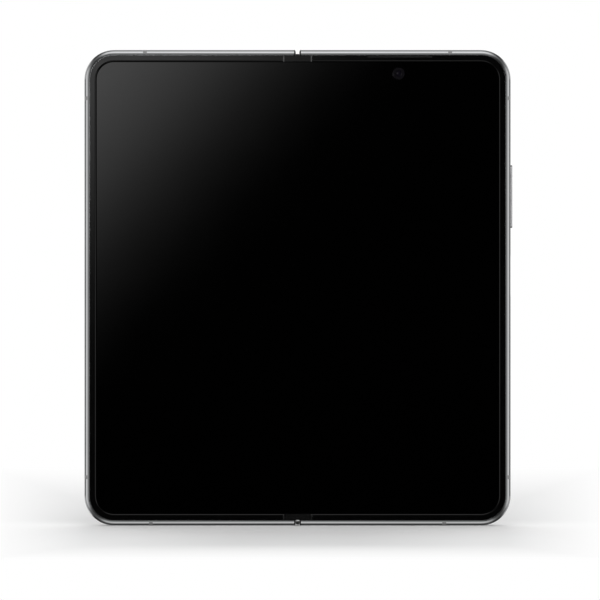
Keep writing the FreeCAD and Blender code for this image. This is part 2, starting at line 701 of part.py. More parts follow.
def rotor_profile(side):
    """The rail's arc and the neck, seen along Z about the fold axis."""
    inner, outer = size.rail_inner, size.rail_outer
    top, back = wing_back - axis_depth, neck_back - axis_depth
    foot = foot_start - axis_x

    def draw(sketch):
        upright, centre = FreeCAD.Vector(0, 0, 1), FreeCAD.Vector(0, 0, 0)
        tail = math.radians(size.rail_tail_angle.value)
        head_in = math.acos(top.value / inner.value)
        head_out = math.acos(back.value / outer.value)

        def spot(radius, turn):
            return FreeCAD.Vector(side * radius.value * math.sin(turn), radius.value * math.cos(turn), 0)

        def arc(radius, turn):
            angles = sorted(math.atan2(p.y, p.x) for p in (spot(radius, turn), spot(radius, -tail)))
            return Part.ArcOfCircle(Part.Circle(centre, upright, radius.value), *angles)

        far_back = FreeCAD.Vector(side * foot.value, back.value, 0)
        far_top = FreeCAD.Vector(side * foot.value, top.value, 0)
        low, heel, roof, end, high, tip = sketch.addGeometry([
            arc(outer, head_out),
            Part.LineSegment(spot(outer, head_out), far_back),
            Part.LineSegment(far_back, far_top),
            Part.LineSegment(far_top, spot(inner, head_in)),
            arc(inner, head_in),
            Part.LineSegment(spot(inner, -tail), spot(outer, -tail)),
        ])
        head, rear = (2, 1) if side == LEFT else (1, 2)
        joins = [(low, head, heel, 1), (heel, 2, roof, 1), (roof, 2, end, 1), (end, 2, high, head),
                 (high, rear, tip, 1), (tip, 2, low, rear)]
        for join in joins:
            sketch.addConstraint(Sketcher.Constraint("Coincident", *join))
        for curve, radius in ((low, outer), (high, inner)):
            sketch.addConstraint(Sketcher.Constraint("Coincident", curve, 3, -1, 1))
            set_radius(sketch, curve, radius)
        for edge, level in ((heel, back), (end, top)):
            sketch.addConstraint(Sketcher.Constraint("Horizontal", edge))
            pin_point(sketch, edge, 1, y=level)
        sketch.addConstraint(Sketcher.Constraint("Vertical", roof))
        pin_point(sketch, roof, 1, x=side * foot)
        sketch.addConstraint(Sketcher.Constraint("PointOnObject", -1, 1, tip))
        number = sketch.addConstraint(Sketcher.Constraint("Angle", -2, 1, tip, 1, -side * -tail))
        turned = size.rail_tail_angle * side
        sketch.setExpression(f"Constraints[{number}]", f"{turned.text} * 1 deg")
    return draw


def build_rotors(label, side):
    rotor = Piece(f"{label}_upper", x=side * axis_x, depth=axis_depth, kept=False)
    low, high = rail_z[side], rail_z[side] + size.rail_width
    rotor.pad(ALONG, low, high, rotor_profile(side))
    front, back = panel_back - axis_depth, neck_back - axis_depth
    start, end = side * (foot_start + size.foot_slack - axis_x), side * (foot_end - axis_x)
    rotor.pad(FRONT, front, back, rectangle(start, low - size.foot_margin, end, high + size.foot_margin))
    for z in (low, high):
        x = side * (rotor_screw_x - axis_x)
        rotor.pocket(FRONT, front, front + size.screw_head,
                     circle(x, z, size.screw_head_radius + size.screw_gap))
        rotor.pocket(FRONT, front, back, circle(x, z, size.screw_radius + size.screw_gap))
    both_ends(label, rotor)
    screws = Piece(label[:-1] + "_screws")
    for z in rotor_screw_places(side):
        screw(screws, side * rotor_screw_x, z, panel_back + size.screw_head)


build_rotors("left_rotors", LEFT)
build_rotors("right_rotors", RIGHT)

# Synchronising gears: a geared shaft and an arm for each half, with two idlers between them

root_radius = pitch_radius - size.gear_module * size.dedendum_share


def build_gear(piece, start, end, turned):
    """Twelve tapered teeth on a root cylinder; turned gears stand half a tooth round."""
    piece.pad(ALONG, start, end, circle(0, 0, root_radius))
    pitch = size.gear_module * math.pi
    tip, root = pitch * size.tooth_tip_share / 2, pitch * size.tooth_root_share / 2
    sunk = root_radius - size.gear_module
    angle = math.pi / size.gear_teeth.value if turned else 0
    corners = []
    for along, across in ((sunk, -root), (tip_radius, -tip), (tip_radius, tip), (sunk, root)):
        corners.append((along * math.cos(angle) - across * math.sin(angle),
                        along * math.sin(angle) + across * math.cos(angle)))
    tooth = piece.pad(ALONG, start, end, polygon(corners))
    piece.ring_of(tooth, int(size.gear_teeth.value))


for name, side in (("left", LEFT), ("right", RIGHT)):
    shaft = Piece(f"{name}_sync_shaft_upper", x=side * shaft_x, depth=size.gear_depth, kept=False)
    build_gear(shaft, gear_z, gear_z + size.gear_width, side == RIGHT)
    shaft.pad(ALONG, shaft_start + size.fit_gap, shaft_end - size.fit_gap, circle(0, 0, size.shaft_radius))
    both_ends(f"{name}_sync_shafts", shaft)

    idler = Piece(f"{name}_idler_upper", x=side * idler_x, depth=size.gear_depth, kept=False)
    build_gear(idler, gear_z, gear_z + size.gear_width, side == LEFT)
    idler_end = arm_z - size.module_wall / 2 - size.fit_gap
    idler.pad(ALONG, shaft_start + size.fit_gap, idler_end, circle(0, 0, size.journal_radius))
    both_ends(f"{name}_idlers", idler)

    arm = Piece(f"{name}_sync_arm_upper", x=side * shaft_x, depth=size.gear_depth, kept=False)
    arm.pad(ALONG, arm_z, arm_z + size.arm_width, circle(0, 0, size.hub_radius))
    blade_top = size.arm_top - size.gear_depth
    arm.pad(ALONG, arm_z, arm_z + size.arm_width, rectangle(
        0, blade_top, side * size.arm_reach, blade_top + size.arm_thickness))
    arm.pocket(ALONG, arm_z, arm_z + size.arm_width, circle(0, 0, size.shaft_radius + size.sheet_gap))
    both_ends(f"{name}_sync_arms", arm)

# Torque washers: dished friction rings packed on the shafts, fixed to the base
washers = Piece("torque_washers_upper", kept=False)
washer_step = size.washer_room / size.washer_count
for number in range(int(size.washer_count.value)):
    start = washer_z + washer_step * number + size.washer_gap / 2
    end = start + washer_step - size.washer_gap
    for side in (LEFT, RIGHT):
        x = side * shaft_x
        washers.pad(ALONG, start, end, circle(x, size.gear_depth, size.hub_radius),
                    circle(x, size.gear_depth, size.shaft_radius + size.washer_hole_gap))
both_ends("torque_washers", washers)


# Rear covers and the camera island

island_back = size.thickness + size.island_bump
island_x, island_z = half_width - size.island_side, half_height - size.island_drop
lens_spots = [island_z + size.lens_spacing, island_z, island_z - size.lens_spacing]


def build_cover(label, side):
    cover = Piece(label)
    cover.pad(FRONT, glass_seat, size.thickness, half_outline(
        side, size.glass_inset + size.glass_gap, size.lip_width + size.glass_gap))
    cover.dress("Fillet", size.glass_round, lambda x, depth, z: near(depth, size.thickness))
    return cover


def island(grow):
    return slab(island_x, island_z, size.island_width + grow * 2, size.island_height + grow * 2,
                size.island_corner + grow)


cover_glass = build_cover("cover_glass", LEFT)
rear_glass = build_cover("rear_glass", RIGHT)
rear_glass.pocket(FRONT, glass_seat, size.thickness, island(size.glass_gap))

bump = Piece("camera_island")
bump.pad(FRONT, glass_seat - size.flange_thickness, glass_seat, island(size.island_flange))
bump.pad(FRONT, glass_seat, island_back, island(dim(0)))
bump.dress("Fillet", size.island_round, lambda x, depth, z: near(depth, island_back))
for z in lens_spots:
    bump.pad(FRONT, island_back, island_back + size.lens_proud,
             circle(island_x, z, size.lens_radius + size.lens_lip))
    bump.pocket(FRONT, island_back + size.lens_proud - size.lens_seat, island_back + size.lens_proud,
                circle(island_x, z, size.lens_radius))
    bump.pocket(FRONT, glass_seat - size.flange_thickness, island_back,
                circle(island_x, z, size.lens_hole))
flash_x, flash_z = island_x + size.flash_x_offset, island_z + size.flash_z_offset
bump.pocket(FRONT, island_back - size.flash_depth, island_back, circle(flash_x, flash_z, size.flash_radius))

lens_back = island_back + size.lens_proud
lens_covers = Piece("lens_covers")
for z in lens_spots:
    lens_covers.pad(FRONT, lens_back - size.lens_seat, lens_back - size.fit_gap,
                    circle(island_x, z, size.lens_radius - size.fit_gap))
flash = Piece("flash_lens")
flash.pad(FRONT, island_back - size.flash_depth, island_back - size.fit_gap,
          circle(flash_x, flash_z, size.flash_radius - size.fit_gap))

modules = Piece("camera_modules")
barrel_back = lens_back - size.lens_seat - size.fit_gap
for z in lens_spots:
    modules.pad(FRONT, plate_back, size.camera_box_back, slab(
        island_x, z, size.camera_box, size.camera_box, size.camera_corner))
    modules.pad(FRONT, size.camera_box_back, barrel_back, circle(island_x, z, size.camera_barrel))


# Cover screen, its camera and the inner camera

cover_screen_front = glass_seat - size.cover_screen_thickness
cover_camera_x = -half_centre


margin = size.cover_screen_margin
cover_screen = Piece("cover_display")
screen_z = half_height - size.side_wall - margin
cover_screen.pad(FRONT, cover_screen_front, glass_seat, rectangle(
    -(size.block_edge + margin), -screen_z, -(wall_inside - margin), screen_z,
    size.corner_radius - size.side_wall - margin))
cover_camera_z = half_height - size.cover_camera_drop
cover_screen.pocket(FRONT, cover_screen_front, glass_seat, circle(
    cover_camera_x, cover_camera_z, size.cover_camera_radius + size.fit_gap))

board_front = plate_back + size.board_gap
board_back = board_front + size.board_thickness
cover_camera = Piece("cover_camera")
cover_camera.pad(FRONT, plate_back, cover_screen_front - size.fit_gap, slab(
    cover_camera_x, cover_camera_z, size.small_camera_box, size.small_camera_box, size.camera_corner))
cover_camera.pad(FRONT, cover_screen_front - size.fit_gap, glass_seat - size.fit_gap,
                 circle(cover_camera_x, cover_camera_z, size.cover_camera_radius))

inner_camera = Piece("inner_camera")
inner_camera.pad(FRONT, plate_back, size.camera_box_back, slab(
    size.inner_camera_x, inner_camera_z, size.small_camera_box, size.small_camera_box, size.camera_corner))
inner_camera.pad(FRONT, size.display_recess, plate_back, circle(
    size.inner_camera_x, inner_camera_z, size.inner_camera_radius))
right_frame.pocket(FRONT, panel_back, plate_back, circle(
    size.inner_camera_x, inner_camera_z, size.inner_camera_radius + size.fit_gap))


# Boards on bosses of the frames

board_high = half_height - size.board_drop
board_in = size.block_edge + size.board_margin
main_board_right = island_x - size.camera_box / 2 - size.board_margin
main_board_low = island_z - size.island_height / 2 - size.island_flange
left_board_low = board_high - size.left_board_height
charge_low = -half_height + size.charge_rise
charge_high = charge_low + size.charge_board_height
board_out = wall_inside - size.battery_margin - size.side_wall


def build_board(label, frame, screws, left, right, low, high):
    """A board with a screw at each corner, on bosses that stand on the frame's plate."""
    board = Piece(label)
    board.pad(FRONT, board_front, board_back, rectangle(left, low, right, high, size.camera_corner))
    inset = size.boss_inset
    spots = [(left + inset, low + inset), (right - inset, low + inset),
             (left + inset, high - inset), (right - inset, high - inset)]
    hole = size.screw_radius + size.screw_gap
    for x, z in spots:
        frame.pad(FRONT, plate_back - size.fit_gap, board_front, circle(x, z, size.board_boss))
        frame.pocket(FRONT, plate_back, board_front, circle(x, z, hole))
        board.pocket(FRONT, board_front, board_back, circle(x, z, hole))
        screws.pad(FRONT, plate_back, board_back, circle(x, z, size.screw_radius))
        screws.pad(FRONT, board_back, board_back + size.screw_head, circle(x, z, size.screw_head_radius))
    return board


right_screws = Piece("right_board_screws")
left_screws = Piece("left_board_screws")
build_board("main_board", right_frame, right_screws, board_in, main_board_right, main_board_low, board_high)
build_board("charging_board", right_frame, right_screws, board_in, board_out, charge_low, charge_high)
build_board("left_board", left_frame, left_screws, -board_out, -board_in, left_board_low, board_high)

cans = Piece("shield_cans")
edge = size.boss_inset * 2
can_low, can_high = main_board_low + edge, board_high - edge
can_split = can_low + (can_high - can_low) * size.can_split_share
for low, high in ((can_low, can_split - size.can_gap / 2), (can_split + size.can_gap / 2, can_high)):
    left, right, wall = board_in + size.can_gap, main_board_right - size.can_gap, size.can_wall
    cans.pad(FRONT, board_back, board_back + size.can_height,
             rectangle(left, low, right, high, size.camera_corner))
    cans.pocket(FRONT, board_back, board_back + size.can_height - wall, rectangle(
        left + wall, low + wall, right - wall, high - wall, size.camera_corner - wall))


# Charging socket

usb_x = half_centre
usb_start, usb_end = -half_height + size.usb_setback, -half_height + size.usb_setback + size.usb_length


def usb_slot(grow):
    width, height = size.usb_width + grow * 2, size.usb_height + grow * 2
    return slab(usb_x, mid_depth, width, height, height / 2 - size.sheet_gap)


usb_shell = Piece("usb_shell")
usb_shell.pad(ALONG, usb_start, usb_end, usb_slot(dim(0)))
usb_shell.pocket(ALONG, usb_start, usb_end - size.usb_floor, usb_slot(-size.usb_wall))
usb_tongue = Piece("usb_tongue")
usb_tongue.pad(ALONG, usb_end - size.usb_floor - size.tongue_length, usb_end - size.usb_floor, slab(
    usb_x, mid_depth, size.tongue_width, size.tongue_thickness))
right_frame.pocket(ALONG, -half_height - size.overrun, usb_end + size.fit_gap, usb_slot(size.fit_gap))


# Speakers, receiver and vibration motor


def grille(frame, x, up):
    """A row of round sound holes through the upper or lower wall of a frame."""
    first = x - size.grille_pitch * (size.grille_count - 1) / 2
    holes = []
    for number in range(int(size.grille_count.value)):
        holes.append(circle(first + size.grille_pitch * number, mid_depth, size.grille_radius))
    low, high = half_height - size.side_wall - size.overrun, half_height + size.overrun
    frame.pocket(ALONG, *((low, high) if up > 0 else (-high, -low)), *holes)


def block(label, x, z, width, height, back):
    made = Piece(label)
    made.pad(FRONT, plate_back, back, slab(x, z, width, height, size.speaker_corner))
    made.dress("Fillet", size.camera_corner / 2, lambda x, depth, z: near(depth, back))


wall_z = half_height - size.side_wall - size.wall_clear
grille_x, top_speaker_x = usb_x + size.grille_offset, -half_centre + size.top_speaker_offset
receiver_x = size.inner_camera_x + size.small_camera_box / 2 + size.receiver_gap + size.receiver_width / 2
grille(right_frame, grille_x, -1)
grille(left_frame, top_speaker_x, 1)
right_frame.pocket(ALONG, -half_height - size.overrun, -half_height + size.side_wall + size.overrun,
                   circle(usb_x - size.mic_offset, mid_depth, size.mic_radius))
block("bottom_speaker", grille_x, -(wall_z - size.speaker_height / 2), size.speaker_width,
      size.speaker_height, size.speaker_back)
block("top_speaker", top_speaker_x, wall_z - size.speaker_height / 2, size.speaker_width,
      size.speaker_height, cover_screen_front - size.fit_gap)
block("vibration_motor", usb_x - size.motor_offset, -(wall_z - size.motor_height / 2), size.motor_width,
      size.motor_height, size.motor_back)
block("receiver", receiver_x, wall_z - size.receiver_height / 2, size.receiver_width,
      size.receiver_height, size.receiver_back)


# Keys on the right edge and the switches behind them

flange_face = wall_inside - size.key_rock_room
flange_back = flange_face - size.key_flange_thickness
fulcrum_x = flange_back
board_face = fulcrum_x - size.fulcrum_radius - size.fit_gap


def key_flange(z, length, width):
    long = length + size.key_flange * 2
    return slab(mid_depth, z, width, long, width / 2 - size.sheet_gap)


def key_slot(z, length, width, grow):
    long, wide = length + grow * 2, width + grow * 2
    return slab(mid_depth, z, wide, long, wide / 2 - size.sheet_gap)


volume = Piece("volume_key")
volume.pad(SIDE, flange_face, half_width + size.volume_proud, key_slot(
    size.volume_z, size.volume_length, size.key_width, dim(0)))
volume.dress("Fillet", size.key_round, lambda x, depth, z: near(x, half_width + size.volume_proud))
volume.pad(SIDE, flange_back, flange_face, key_flange(size.volume_z, size.volume_length, size.key_width))
volume.pad(FRONT, mid_depth - size.key_width / 2, mid_depth + size.key_width / 2,
           circle(fulcrum_x, size.volume_z, size.fulcrum_radius))

power_face = half_width - size.power_recess
power = Piece("power_key")
power.pad(SIDE, flange_face, power_face,
          key_slot(size.power_z, size.power_length, size.power_width, dim(0)))
power.pad(SIDE, flange_back, flange_face, key_flange(size.power_z, size.power_length, size.power_width))

right_frame.pocket(SIDE, wall_inside - size.overrun, half_width + size.overrun,
                   key_slot(size.volume_z, size.volume_length, size.key_width, size.key_gap),
                   key_slot(size.power_z, size.power_length, size.power_width, size.key_gap))
right_frame.pocket(SIDE, power_face, half_width + size.overrun,
                   key_slot(size.power_z, size.power_length, size.power_width, size.power_margin))

switches = Piece("key_switches")
switch_low = size.power_z - size.power_length / 2 - size.switch_margin
switch_high = size.volume_z + size.volume_length / 2 + size.switch_margin
switches.pad(SIDE, board_face - size.switch_board_thickness, board_face, rectangle(
    plate_back, switch_low, size.camera_box_back, switch_high))
dome_reach = size.volume_length * size.dome_share
for z in (size.power_z, size.volume_z - dome_reach, size.volume_z + dome_reach):
    switches.pad(SIDE, board_face, flange_back - size.dome_gap, circle(mid_depth, z, size.dome_radius))


# Card tray and its reader on the left edge

tray_z = -half_height + size.tray_rise
tray_outer, tray_inner = -half_width, -half_width + size.tray_face_thickness
tray_tip = tray_inner + size.tray_length
tray_front, tray_back = mid_depth - size.tray_thickness / 2, mid_depth + size.tray_thickness / 2

tray = Piece("sim_tray")
tray.pad(SIDE, tray_outer, tray_inner, slab(
    mid_depth, tray_z, size.tray_face_width, size.tray_face_length,
    size.tray_face_width / 2 - size.sheet_gap))
tray.pad(FRONT, tray_front, tray_back, rectangle(
    tray_inner, tray_z - size.tray_width / 2, tray_tip, tray_z + size.tray_width / 2))
tray.pocket(FRONT, tray_back - size.card_pocket_depth, tray_back, rectangle(
    tray_tip - size.card_lip - size.card_pocket_length, tray_z - size.card_pocket_width / 2,
    tray_tip - size.card_lip, tray_z + size.card_pocket_width / 2, size.camera_corner))
tray.pocket(SIDE, tray_outer, tray_inner,
            circle(mid_depth, tray_z + size.eject_offset, size.eject_hole_radius))

gap = size.tray_gap
left_frame.pocket(SIDE, -half_width - size.overrun, tray_inner + gap, slab(
    mid_depth, tray_z, size.tray_face_width + gap * 2, size.tray_face_length + gap * 2,
    size.tray_face_width / 2 + gap - size.sheet_gap))
left_frame.pocket(SIDE, -half_width - size.overrun, -wall_inside + size.overrun, slab(
    mid_depth, tray_z, size.tray_thickness + gap * 2, size.tray_width + gap * 2))

reader = Piece("sim_reader")
reader_low = tray_z - size.tray_width / 2 - size.reader_gap - size.reader_wall
reader_high = tray_z + size.tray_width / 2 + size.reader_gap + size.reader_wall
reader_start, reader_end = -wall_inside + size.fit_gap, tray_tip + size.reader_gap + size.reader_wall
wall = size.reader_wall
reader.pad(FRONT, plate_back, tray_back + size.reader_gap + wall, rectangle(
    reader_start, reader_low, reader_end, reader_high))
reader.pocket(SIDE, reader_start, reader_end - wall, rectangle(
    tray_front - size.reader_gap, reader_low + wall, tray_back + size.reader_gap, reader_high - wall))


# Batteries fill what the boards, switches and card reader leave of each cavity

def build_battery(label, left, right, low, high, back):
    battery = Piece(label)
    battery.pad(FRONT, plate_back, back, rectangle(left, low, right, high, size.battery_corner))
    battery.dress("Fillet", size.battery_round, lambda x, depth, z: near(depth, back))


margin = size.battery_margin
build_battery("right_battery", size.block_edge + margin, board_face - size.switch_board_thickness - margin,
              charge_high + margin, main_board_low - margin, glass_seat - size.swell_gap)
build_battery("left_battery", -(wall_inside - margin), -(size.block_edge + margin),
              reader_high + margin, left_board_low - margin, cover_screen_front - size.swell_gap)


# Check every object, then write each sub-part

doc.recompute()
failed = [thing.Name for thing in doc.Objects if "Invalid" in thing.State or "Error" in thing.State]
bad = [label for label, thing in parts.items() if thing.Shape.isNull() or not thing.Shape.isValid()]
if failed or bad:
    raise RuntimeError(f"failed objects {failed}, bad shapes {bad}")
os.makedirs("parts", exist_ok=True)
for label, thing in parts.items():
    thing.Shape.exportStep(f"parts/{label}.step")
print(len(parts), "sub-parts")
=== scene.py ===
"""An open book-style foldable phone on a pale studio floor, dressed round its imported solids.

X runs to the right as the main screen is seen, Y away from the viewer and Z up along the fold, in metres.
"""
import math

import bmesh
import bpy
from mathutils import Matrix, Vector


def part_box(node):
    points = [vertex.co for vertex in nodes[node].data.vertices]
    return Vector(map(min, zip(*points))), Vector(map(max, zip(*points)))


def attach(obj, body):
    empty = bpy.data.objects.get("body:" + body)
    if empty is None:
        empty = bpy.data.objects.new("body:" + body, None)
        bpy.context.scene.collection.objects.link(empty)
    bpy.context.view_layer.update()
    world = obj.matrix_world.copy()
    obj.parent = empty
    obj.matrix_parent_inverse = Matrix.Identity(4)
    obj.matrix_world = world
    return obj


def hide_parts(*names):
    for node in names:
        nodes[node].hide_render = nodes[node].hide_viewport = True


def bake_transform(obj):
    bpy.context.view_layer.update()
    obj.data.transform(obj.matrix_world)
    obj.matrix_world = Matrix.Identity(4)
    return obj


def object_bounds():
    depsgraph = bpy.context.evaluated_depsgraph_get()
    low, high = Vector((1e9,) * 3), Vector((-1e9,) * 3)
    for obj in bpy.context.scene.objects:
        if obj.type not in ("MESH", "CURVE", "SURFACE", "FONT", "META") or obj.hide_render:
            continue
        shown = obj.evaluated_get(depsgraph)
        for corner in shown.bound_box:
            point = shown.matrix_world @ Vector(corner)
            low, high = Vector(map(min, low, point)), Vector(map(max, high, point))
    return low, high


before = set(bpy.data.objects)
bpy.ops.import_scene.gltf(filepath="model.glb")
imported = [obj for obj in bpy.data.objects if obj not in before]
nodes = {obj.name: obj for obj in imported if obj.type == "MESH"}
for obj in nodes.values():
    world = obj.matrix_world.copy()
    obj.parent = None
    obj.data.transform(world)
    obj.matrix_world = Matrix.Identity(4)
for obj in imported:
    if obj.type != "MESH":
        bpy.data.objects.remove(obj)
cad_low, cad_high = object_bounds()
MM = 0.001


# Half frames
# Each half is a tray milled from aluminium. Its rim is rounded on the front and the back, blasted to a fine
# satin and then polished, so it shines along the round and is calmer where it faces the viewer.

class Wire:
    """One output of a shader node. Arithmetic on wires adds Math nodes."""

    def __init__(self, nodes_of, socket):
        self.nodes_of = nodes_of
        self.socket = socket

    def maths(self, operation, *values):
        return self.nodes_of.node("ShaderNodeMath", {"operation": operation}, dict(enumerate(values)))

    def __add__(self, other):
        return self.maths("ADD", self, other)

    def __sub__(self, other):
        return self.maths("SUBTRACT", self, other)

    def __rsub__(self, other):
        return self.maths("SUBTRACT", other, self)

    def __mul__(self, other):
        return self.maths("MULTIPLY", self, other)

    def __truediv__(self, other):
        return self.maths("DIVIDE", self, other)

    def __lt__(self, other):
        return self.maths("LESS_THAN", self, other)

    def __gt__(self, other):
        return self.maths("GREATER_THAN", self, other)

    def __neg__(self):
        return self.maths("MULTIPLY", self, -1.0)

    def smaller(self, other):
        return self.maths("MINIMUM", self, other)

    def larger(self, other):
        return self.maths("MAXIMUM", self, other)

    def magnitude(self):
        return self.maths("ABSOLUTE", self)

    def wave(self):
        return self.maths("SINE", self)

    def root(self):
        return self.maths("SQRT", self)

    __radd__ = __add__
    __rmul__ = __mul__


class Nodes:
    """A node tree that is wired up in expressions."""

    def __init__(self, tree):
        self.tree = tree

    def node(self, kind, settings=None, sockets=None, output=0):
        made = self.tree.nodes.new(kind)
        for name, value in (settings or {}).items():
            if name == "stops":
                set_stops(made.color_ramp, value)
            else:
                setattr(made, name, value)
        for name, value in (sockets or {}).items():
            self.feed(made.inputs[name], value)
        return Wire(self, made.outputs[output])

    def feed(self, socket, value):
        if isinstance(value, Wire):
            self.tree.links.new(value.socket, socket)
        else:
            socket.default_value = value

    def axes(self, vector):
        return [self.node("ShaderNodeSeparateXYZ", None, {"Vector": vector}, axis) for axis in "XYZ"]

    def ramp(self, value, stops):
        return self.node("ShaderNodeValToRGB", {"stops": stops}, {"Fac": value})

    def mix(self, share, first, second):
        return self.node("ShaderNodeMix", {"data_type": "RGBA"},
                         {"Factor": share, "A": first, "B": second}, "Result")


def set_stops(color_ramp, stops):
    while len(color_ramp.elements) < len(stops):
        color_ramp.elements.new(1.0)
    for element, (position, colour) in zip(color_ramp.elements, stops):
        element.position = position
        element.color = colour


def grey(level):
    return (level, level, level, 1.0)


def greys(*stops):
    """The stops of a ramp in grey, each a position and a level."""
    return [(position, grey(level)) for position, level in stops]


class Finish(Nodes):
    """A material. Even values are set on the shader's sockets, and patterns are wired to them."""

    def __init__(self, name, even):
        self.material = bpy.data.materials.new(name)
        self.material.use_nodes = True
        super().__init__(self.material.node_tree)
        self.skin = self.tree.nodes["Principled BSDF"]
        self.spot = self.node("ShaderNodeTexCoord", None, None, "Object")
        for socket, value in even.items():
            self.wear(socket, value)

    def wear(self, socket, value):
        self.feed(self.skin.inputs[socket], value)

    def noise(self, size, detail=3.0, stretch=(1.0, 1.0, 1.0)):
        """Noise with patches of about the given size, drawn out along an axis by a small stretch."""
        place = self.node("ShaderNodeMapping", None, {"Vector": self.spot, "Scale": stretch})
        return self.node("ShaderNodeTexNoise", None, {"Vector": place, "Scale": 1 / size, "Detail": detail})

    def bump(self, height, depth, strength, **under):
        return self.node("ShaderNodeBump", None, {
            "Height": height, "Distance": depth, "Strength": strength, **under})

    def relief(self, height, depth, strength, **under):
        self.wear("Normal", self.bump(height, depth, strength, **under))

    def cover(self, share, shader):
        """Show another shader where share is one."""
        skin = Wire(self, self.skin.outputs["BSDF"])
        both = self.node("ShaderNodeMixShader", None, {0: share, 1: skin, 2: shader})
        self.feed(self.tree.nodes["Material Output"].inputs["Surface"], both)

    def blacken(self, share, level):
        """Wear matt black where share is one."""
        self.cover(share, self.node("ShaderNodeBsdfPrincipled", None, {
            "Base Color": grey(level), "Roughness": 0.8, "Specular IOR Level": 0.0}))

    def round_from(self, x, z):
        """The distance from an axis that runs along Y."""
        across, _, up = self.axes(self.spot)
        return ((across - x) * (across - x) + (up - z) * (up - z)).root()


def dress(finish, *names):
    for name in names:
        slots = nodes[name].data.materials
        slots.clear()
        slots.append(finish.material)


POLISH_PATCH = 14 * MM
POLISH_LIGHT, POLISH_DARK = 1.03, 0.95
METAL_GRAIN_DEPTH = 0.002 * MM


def metal(name, colour, roughness, blast_size=0.12 * MM, stretch=(1.0, 1.0, 1.0)):
    """Bare metal with a fine blasted or brushed grain and slightly uneven polish."""
    finish = Finish(name, {"Metallic": 1.0})
    grain = finish.noise(blast_size, 2.0, stretch)
    cloud = finish.noise(POLISH_PATCH, 2.0)
    light, dark = (tuple(c * share for c in colour) for share in (POLISH_LIGHT, POLISH_DARK))
    finish.colour = finish.mix(cloud, (*dark, 1.0), (*light, 1.0))
    finish.wear("Base Color", finish.colour)
    finish.wear("Roughness", roughness + grain * 0.06 + cloud * 0.03)
    finish.relief(grain, METAL_GRAIN_DEPTH, 0.25)
    return finish


frame_metal = metal("frame_satin_metal", (0.79, 0.80, 0.81), 0.08)
# The frame's ends beside the fold are painted dark, as painted shade in the notch between the halves
FOLD_END, FOLD_END_SHADE_LEVEL = 1.14 * MM, 0.05
frame_x, _, _ = frame_metal.axes(frame_metal.spot)
fold_end_shade = frame_x.magnitude() < FOLD_END
frame_metal.wear("Base Color", frame_metal.mix(fold_end_shade, frame_metal.colour, grey(FOLD_END_SHADE_LEVEL)))
dress(frame_metal, "left_frame", "right_frame")


# Antenna strips
# Moulded plastic fills the breaks in the metal rim. It is flush with the rim and tinted a little darker
# than the frame.

strip_plastic = Finish("antenna_plastic", {"IOR": 1.48})
strip_cloud = strip_plastic.noise(0.4 * MM)
strip_plastic.wear("Base Color", strip_plastic.mix(strip_cloud, grey(0.20), grey(0.24)))
strip_plastic.wear("Roughness", 0.30 + strip_cloud * 0.1)
dress(strip_plastic, "left_antenna_strips", "right_antenna_strips")


# Side keys and card tray
# The volume rocker, the power key and the card tray are cut from the same aluminium as the frame. The key and
# the tray are polished with it, and the rocker is left satin; its ends are painted dark as shade in their
# gaps.

key_metal = metal("key_polished_metal", (0.80, 0.81, 0.82), 0.14)
dress(key_metal, "power_key", "sim_tray")
rocker_metal = metal("rocker_satin_metal", (0.90, 0.90, 0.91), 0.42)
rocker_metal.wear("Metallic", 0.7)
rocker_low, rocker_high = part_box("volume_key")
# Painted shade: the rocker's ends are painted matt black, standing in for the shadow in the gaps at its ends
ROCKER_END, ROCKER_END_SHADE_LEVEL = 1.2 * MM, 0.008
_, _, rocker_z = rocker_metal.axes(rocker_metal.spot)
from_end = (rocker_z - rocker_low.z).smaller(rocker_high.z - rocker_z)
rocker_metal.blacken(from_end < ROCKER_END, ROCKER_END_SHADE_LEVEL)
dress(rocker_metal, "volume_key")


# Bezels and fold caps
# A moulded black border is glued round the screen of each half. Between its ends, a small cap on the hinge
# covers each end of the fold.

GLOSS_GRAIN_DEPTH = 0.001 * MM
bezel_black = Finish("bezel_black", {"IOR": 1.45})
bezel_grain = bezel_black.noise(0.25 * MM)
bezel_cloud = bezel_black.noise(9 * MM, 2.0)
bezel_black.wear("Base Color", bezel_black.mix(bezel_cloud, grey(0.0016), grey(0.0024)))
bezel_black.wear("Roughness", 0.045 + bezel_grain * 0.03 + bezel_cloud * 0.02)
# The border of the left half isn't quite flat: its top leans back and its side leans in, in radians
BEZEL_INNER = 3.97 * MM
LEAN_BACK, LEAN_IN = 0.0071, 0.0036
bezel_x, _, bezel_z = bezel_black.axes(bezel_black.spot)
past_top = (bezel_z - (cad_high.z - BEZEL_INNER)).larger(0.0) * (bezel_x < 0.0)
past_side = (cad_low.x + BEZEL_INNER - bezel_x).larger(0.0)
lean = bezel_black.bump(past_side * LEAN_IN - past_top * LEAN_BACK, 1.0, 1.0)
bezel_black.relief(bezel_grain, GLOSS_GRAIN_DEPTH, 0.15, Normal=lean)
dress(bezel_black, "left_bezel", "right_bezel")

# Painted highlight: a thin light band at each end of a fold cap stands in for light caught on its rounded
# ends
CAP_SEAM_HIGHLIGHT = 0.30 * MM
SEAM_BLUR = 0.01
cap_half_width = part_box("top_fold_cap")[1].x
seam_highlight_start = 1 - CAP_SEAM_HIGHLIGHT / cap_half_width


def cap_finish(name, seam_highlight_level, *ribs):
    """Gloss black in ribs from the fold out, each a place and a level, with a painted highlight along the
    seam at each end.
    """
    finish = Finish(name, {"IOR": 1.5})
    grain = finish.noise(0.2 * MM)
    across_cap, _, _ = finish.axes(finish.spot)
    _, last_level = ribs[-1]
    stops = greys(*ribs, (seam_highlight_start - SEAM_BLUR, last_level), (seam_highlight_start, seam_highlight_level), (1.0, seam_highlight_level))
    finish.wear("Base Color", finish.ramp(across_cap.magnitude() / cap_half_width, stops))
    finish.wear("Roughness", 0.06 + grain * 0.05)
    finish.relief(grain, GLOSS_GRAIN_DEPTH, 0.2)
    return finish


